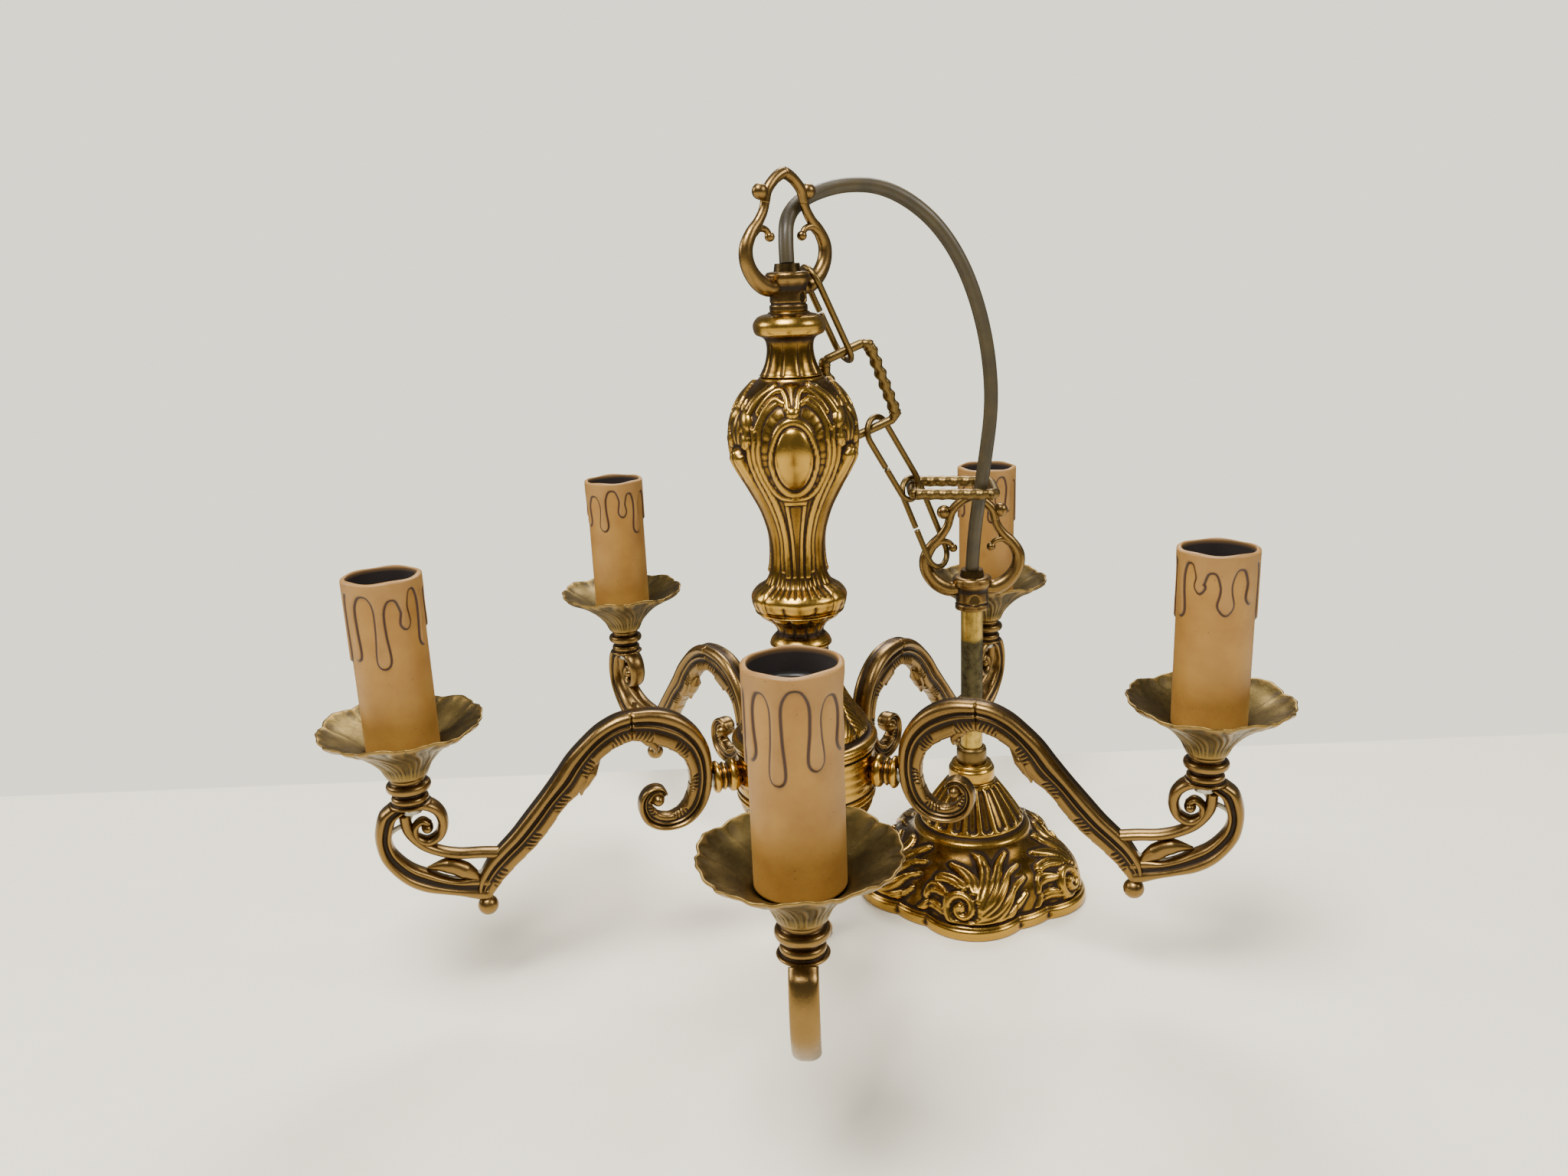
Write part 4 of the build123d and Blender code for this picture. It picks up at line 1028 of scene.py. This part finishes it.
# ---- canopy bell: five lobes, each with a volute and an acanthus spray, under a fluted cone
bell = {
    "rim": 54.0,
    "lobes": 5,
    "firstLobe": radians(-98),
    "outside": [(52.6, 0.1), (53.6, 0.4), (53.8, 1.4), (53.6, 4.0), (52.6, 5.0), (51.0, 5.8),
                (50.2, 8), (49.2, 12), (47.4, 16.4),
                (43.4, 20.6), (38, 23.2), (33, 25.2), (29.4, 27.8), (27.6, 30.2), (26.6, 32.4), (24.6, 33.6),
                (23.6, 34.4), (23.3, 36), (18.2, 44), (13, 51.2), (11.0, 53.9), (10.6, 54.6), (5.4, 54.6)],
    "inside": [(5.4, 53), (9.4, 52.4), (11.6, 49.6), (16.8, 42.4), (22, 34.6), (24.6, 31.4),
               (26, 28.2), (32, 23.4), (42, 19),
               (46.4, 15.4), (48.8, 7.6), (51.4, 4.6), (51.8, 0.5), (52.6, 0.1)],
    "fieldTop": 37.5,
    "spread": 1.17,
    "volute": ((-4.5, 8.0), 7.4),
    "fronds": [
        ([(-1, 1.6), (6, 1.4), (13, 2.4), (19.5, 5.2), (24, 9.2)], 2.4, 1.1),
        ([(2.0, 3.4), (9, 4.6), (15, 8.4), (19, 13.2), (22.6, 15.6)], 2.7, 1.3),
        ([(3.4, 6.0), (9, 10.2), (13, 15.6), (15.6, 20.6), (19, 23)], 2.8, 1.4),
        ([(3.2, 8.6), (7.0, 14), (9.2, 20), (10.2, 26), (12.6, 30.4)], 3.0, 1.5),
        ([(2.4, 11.6), (4.2, 17), (4.6, 23), (3.2, 28.6), (0.8, 31.8)], 3.0, 1.5),
        ([(0.4, 14.8), (-0.8, 19), (-3.6, 23.0), (-8.0, 25.6)], 3.0, 1.4),
        ([(-3.6, 16.2), (-7.6, 18.6), (-12.0, 18.6), (-15.4, 16.4)], 2.8, 1.3),
        ([(-11.4, 12.4), (-15.4, 13.2), (-19.0, 11.4), (-21.0, 8.2)], 2.5, 1.1),
        ([(-11.6, 5.2), (-16, 6.4), (-20.4, 5.0), (-24.0, 2.6)], 2.2, 1.0),
    ],
}
outsideLine = curveThrough(bell["outside"], 0.55)
mesh = spinMesh(np.vstack([outsideLine, curveThrough(bell["inside"], 2.5)]), 360)
places = placesOf(mesh)
normals = normalsOf(mesh)
reach, turn = polar(places)
lobeTurn = folded(turn, bell["lobes"], bell["firstLobe"])
centreShift, lobeRadius = 29.0, 25.0
lobed = centreShift * np.cos(lobeTurn) + np.sqrt(np.clip(lobeRadius**2
                                                         - (centreShift * np.sin(lobeTurn)) ** 2, 0, None))
outline = np.maximum(lobed, 46.7 - 1.2 * np.cos(lobeTurn * 5))
pull = (bell["rim"] - np.minimum(outline, bell["rim"])) * smooth(reach, 27, 53)
shrink = 1 - pull / np.maximum(reach, 1)
innerSkin = np.interp(places[:, 2], [0, 5, 8, 12, 16.4, 19, 20.6, 23.2, 25.2, 27.8, 30.2, 34, 44, 51.2, 54],
                      [52.4, 51.9, 49.5, 48.2, 46.4, 43.5, 41, 35.2, 30.9, 27.8, 26.4, 23.2, 16.8, 11.8, 9.8])
onOutside = reach > innerSkin
# distance up the surface from the rim band
profileRun = np.concatenate([[0], np.cumsum(np.linalg.norm(np.diff(outsideLine, axis=0), axis=1))])
climb = np.interp(places[:, 2], outsideLine[:, 1], profileRun) - np.interp(5.0, outsideLine[:, 1], profileRun)
field = smooth(climb, 0.3, 1.5) * smooth(bell["fieldTop"] - climb, 0, 2.5)
a = lobeTurn * reach / bell["spread"]
climb = climb / bell["spread"]
height = np.zeros(len(a))
(volA, volS), volR = bell["volute"]
spiral = spiralLine((volA, volS), volR, 1.6, radians(-60), -1)
gap, run = toCurve(a, climb, np.array(spiral))
height = np.maximum(height, 2.0 * ridge(gap, 1.9 - 0.7 * run))
height = np.maximum(height, 1.6 * np.sqrt(np.clip(1 - (np.hypot(a - volA, climb - volS) / 1.6) ** 2, 0, 1)))
for points, width, tall in bell["fronds"]:
    height = np.maximum(height, frond(a, climb, points, width, 1.25 * tall))
height *= field
# the scroll that runs along above the rim band
height = np.maximum(height, 0.8 * ridge(np.abs(climb - 0.9), 0.9) * (climb < 3))
# flutes of the cone, each a hollow with a raised rounded lower end
flute = np.abs(folded(turn, 20, bell["firstLobe"])) / (pi / 20)
cone = smooth(places[:, 2], 34.6, 35.4) * smooth(53.4 - places[:, 2], 0, 1.5)
endRound = np.hypot(flute, np.clip(37.5 - places[:, 2], 0, 9) / 2.4)
height += cone * (1.15 * smooth(np.abs(endRound), 0.42, 0.82) - 0.75)
places[:, 0] *= shrink
places[:, 1] *= shrink
places += normals * (np.where(onOutside, height, 0))[:, None]
reachNow = np.hypot(places[:, 0], places[:, 1])
limit = np.where(reachNow > 53.9, 53.9 / reachNow, 1)
places[:, 0] = places[:, 0] * limit + canopyAxis[0]
places[:, 1] = places[:, 1] * limit + canopyAxis[1]
places[:, 2] = np.maximum(places[:, 2], 0)
movePlaces(mesh, places)
addPiece("canopyBell", mesh, "canopy", ["canopy_bell"], polishedBrass, scale=0.22)

collarProfile = [(5.3, 54.8), (10.4, 54.8), (10.6, 55.2), (10.5, 59.6), (10.2, 60.4), (9.4, 60.8),
                 (9.5, 61.6), (9.1, 62.5), (5.3, 62.7)]
mesh = spinMesh(collarProfile, 96)
mesh.transform(Matrix.Translation((canopyAxis[0] * mm, canopyAxis[1] * mm, 0)))
addPiece("canopyCollar", mesh, "canopy", ["canopy_collar"], polishedBrass,
         scale=0.3)
lockProfile = [(5.3, 62.9), (6.7, 62.9), (6.9, 63.4), (6.9, 68.4), (6.5, 69.8), (5.9, 70.2), (5.3, 70.2)]
mesh = spinMesh(lockProfile, 96)
mesh.transform(Matrix.Translation((canopyAxis[0] * mm, canopyAxis[1] * mm, 0)))
addPiece("lockRing", mesh, "canopy", ["lock_ring"], chainBrass, scale=0.3)
print("canopy done")

# ---- chain: split wire links and cast ornate links by turns
chain = {
    "wireRadius": 1.3,
    "plainWidth": 13.0,
    "splitGap": 1.2,
    "castWidth": 20.7,
    "castRadius": 1.95,
    "castCorner": 3.9,
    # ends of each link on its middle line, and its twist about that line from face-on to the front
    "links": [
        ("plain", (7.26, 7.01, 288.18), (23.59, 17.77, 250.78), -72),
        ("cast", (22.22, 16.84, 254.37), (34.71, 25.30, 221.68), 4),
        ("plain", (32.87, 24.21, 225.0), (52.58, 35.86, 189.55), 43),
        ("cast", (50.73, 37.67, 192.87), (86.67, 35.87, 191.79), 85),
        ("plain", (49.31, 38.71, 196.55), (64.50, 38.29, 157.18), 45),
    ],
}


def stadium(length, width, gap):
    side, straight = width / 2, (length - width) / 2
    points = [(gap / 2, -side), (straight, -side)]
    points += [(straight + side * sin(turn), -side * cos(turn)) for turn in np.linspace(0, pi, 13)[1:-1]]
    points += [(straight, side), (-straight, side)]
    points += [(-straight - side * sin(turn), side * cos(turn)) for turn in np.linspace(0, pi, 13)[1:-1]]
    points += [(-straight, -side), (-gap / 2, -side)]
    return points


def roundedFrame(length, width, corner):
    points = []
    for cx, cy, start in ((1, 1, 0), (-1, 1, 90), (-1, -1, 180), (1, -1, 270)):
        for step in range(6):
            turn = radians(start + 18 * step)
            points.append((cx * (length / 2 - corner) + corner * cos(turn),
                           cy * (width / 2 - corner) + corner * sin(turn)))
    return points


for number, (kind, startPoint, endPoint, twist) in enumerate(chain["links"], 1):
    startPoint, endPoint = Vector(startPoint), Vector(endPoint)
    along = (endPoint - startPoint).normalized()
    length = (endPoint - startPoint).length
    depth = (Vector((0, 1, 0)) - along * along.y).normalized()
    acrossDirection = along.cross(depth)
    widthDirection = acrossDirection * cos(radians(twist)) + depth * sin(radians(twist))
    middle = (startPoint + endPoint) / 2
    facing = along.cross(widthDirection)

    def inLink(points):
        return np.array([middle + along * x + widthDirection * y for x, y in points])

    if kind == "plain":
        run = []
        outline = stadium(length, chain["plainWidth"], chain["splitGap"])
        for first, second in zip(outline, outline[1:]):
            steps = max(1, int(np.hypot(second[0] - first[0], second[1] - first[1]) / 0.8))
            run += [(first[0] + (second[0] - first[0]) * t / steps,
                     first[1] + (second[1] - first[1]) * t / steps)
                    for t in range(steps)]
        run.append(outline[-1])
        mesh = tubeMesh(inLink(run), [chain["wireRadius"]], 14, 1.0, facing)
    else:
        outline = roundedFrame(length, chain["castWidth"], chain["castCorner"])
        line = curveThrough(outline, 0.45, closed=True)[:-1]
        run = np.arange(len(line)) * 0.45
        rings = []
        ahead = np.roll(line, -1, axis=0) - np.roll(line, 1, axis=0)
        ahead /= np.linalg.norm(ahead, axis=1)[:, None]
        turns = np.arange(20) * tau / 20
        for (x, y), (ax, ay), travelled in zip(line, ahead, run):
            onSide = smooth(abs(y), chain["castWidth"] * 0.36, chain["castWidth"] * 0.44)
            lump = 0.5 + 0.5 * cos(tau * travelled / 5.2)
            spiral = 0.1 * np.cos(turns * 2 - tau * travelled / 5.2)
            radius = chain["castRadius"] * (0.95 + onSide * (0.12 + 0.24 * lump + spiral))
            outward = np.array([ay, -ax])
            flat = np.array([x, y]) + np.outer(radius * np.cos(turns), outward)
            lift = radius * np.sin(turns)
            rings.append([middle + along * p + widthDirection * q + facing * h for (p, q),
                          h in zip(flat, lift)])
        rings.append(rings[0])
        mesh = rolledMesh(rings, capped=False)
    addPiece(f"chainLink{number}", mesh, f"link_{number}", [f"chain_link_{number}"],
             chainBrass, scale=0.3)
print("chain done")

# ---- CAD nodes that stay as they are
keptNodes = {
    "stem_rod": zincSteel, "stem_nuts": zincSteel, "loop_set_screws": chainBrass, "arm_nipples": zincSteel,
    "arm_nuts": zincSteel, "arm_pins": zincSteel, "cup_nipples": zincSteel, "canopy_rod": rodBrass,
    "flex_bushings": chainBrass, "inner_flex": flexSheath, "terminal_block": blackPhenolic,
    "arm_wires": innerWire, "lamp_contacts": contactBrass,
}
for node, material in keptNodes.items():
    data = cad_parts[node].data
    data.materials.clear()
    data.materials.append(material)

# ---- floor and soft light
table = {"half": 2.5, "backEdge": 0.184}
floorMesh = bpy.data.meshes.new("floor")
bm = bmesh.new()
bmesh.ops.create_grid(bm, x_segments=1, y_segments=1, size=table["half"])
bmesh.ops.translate(bm, verts=bm.verts, vec=(0, table["backEdge"] - table["half"], 0))
bm.to_mesh(floorMesh)
bm.free()
floorMesh.materials.append(plainMaterial("paleTable", "#EFE9D6", "#EBE5D0", 60, 0.0, 0.55))
floor = bpy.data.objects.new("floor", floorMesh)
bpy.context.collection.objects.link(floor)

# the room is pale to look at but dimmer in the metal, as beyond a light tent
world = bpy.data.worlds.new("room")
world.use_nodes = True
room = world.node_tree
room.nodes.clear()
seen = addNode(room, "ShaderNodeBackground", {"Color": colour("#E0DECC"), "Strength": 2.15})
lighting = addNode(room, "ShaderNodeBackground", {"Color": colour("#D9D6CC"), "Strength": 0.3})
ray = addNode(room, "ShaderNodeLightPath")
both = addNode(room, "ShaderNodeMixShader")
room.links.new(ray.outputs["Is Camera Ray"], both.inputs[0])
room.links.new(lighting.outputs[0], both.inputs[1])
room.links.new(seen.outputs[0], both.inputs[2])
addNode(room, "ShaderNodeOutputWorld", links={"Surface": both.outputs[0]})
bpy.context.scene.world = world
lamps = {
    "keyLight": ((-0.35, -0.7, 1.7), 56, 0.7),
    "fillLight": ((1.3, -0.5, 1.1), 14, 0.6),
    "sideLight": ((-1.4, 0.1, 0.9), 12, 0.6),
    "backLight": ((0.2, 1.1, 1.5), 30, 0.8),
}
for name, (place, power, size) in lamps.items():
    lamp = bpy.data.lights.new(name, "AREA")
    lamp.energy = power
    lamp.size = size
    lamp.color = (1.0, 0.985, 0.955)
    lampObject = bpy.data.objects.new(name, lamp)
    lampObject.location = place
    lampObject.rotation_euler = (Vector((0, 0, 0.15)) - Vector(place)).to_track_quat("-Z", "Y").to_euler()
    bpy.context.collection.objects.link(lampObject)
print("scene done")
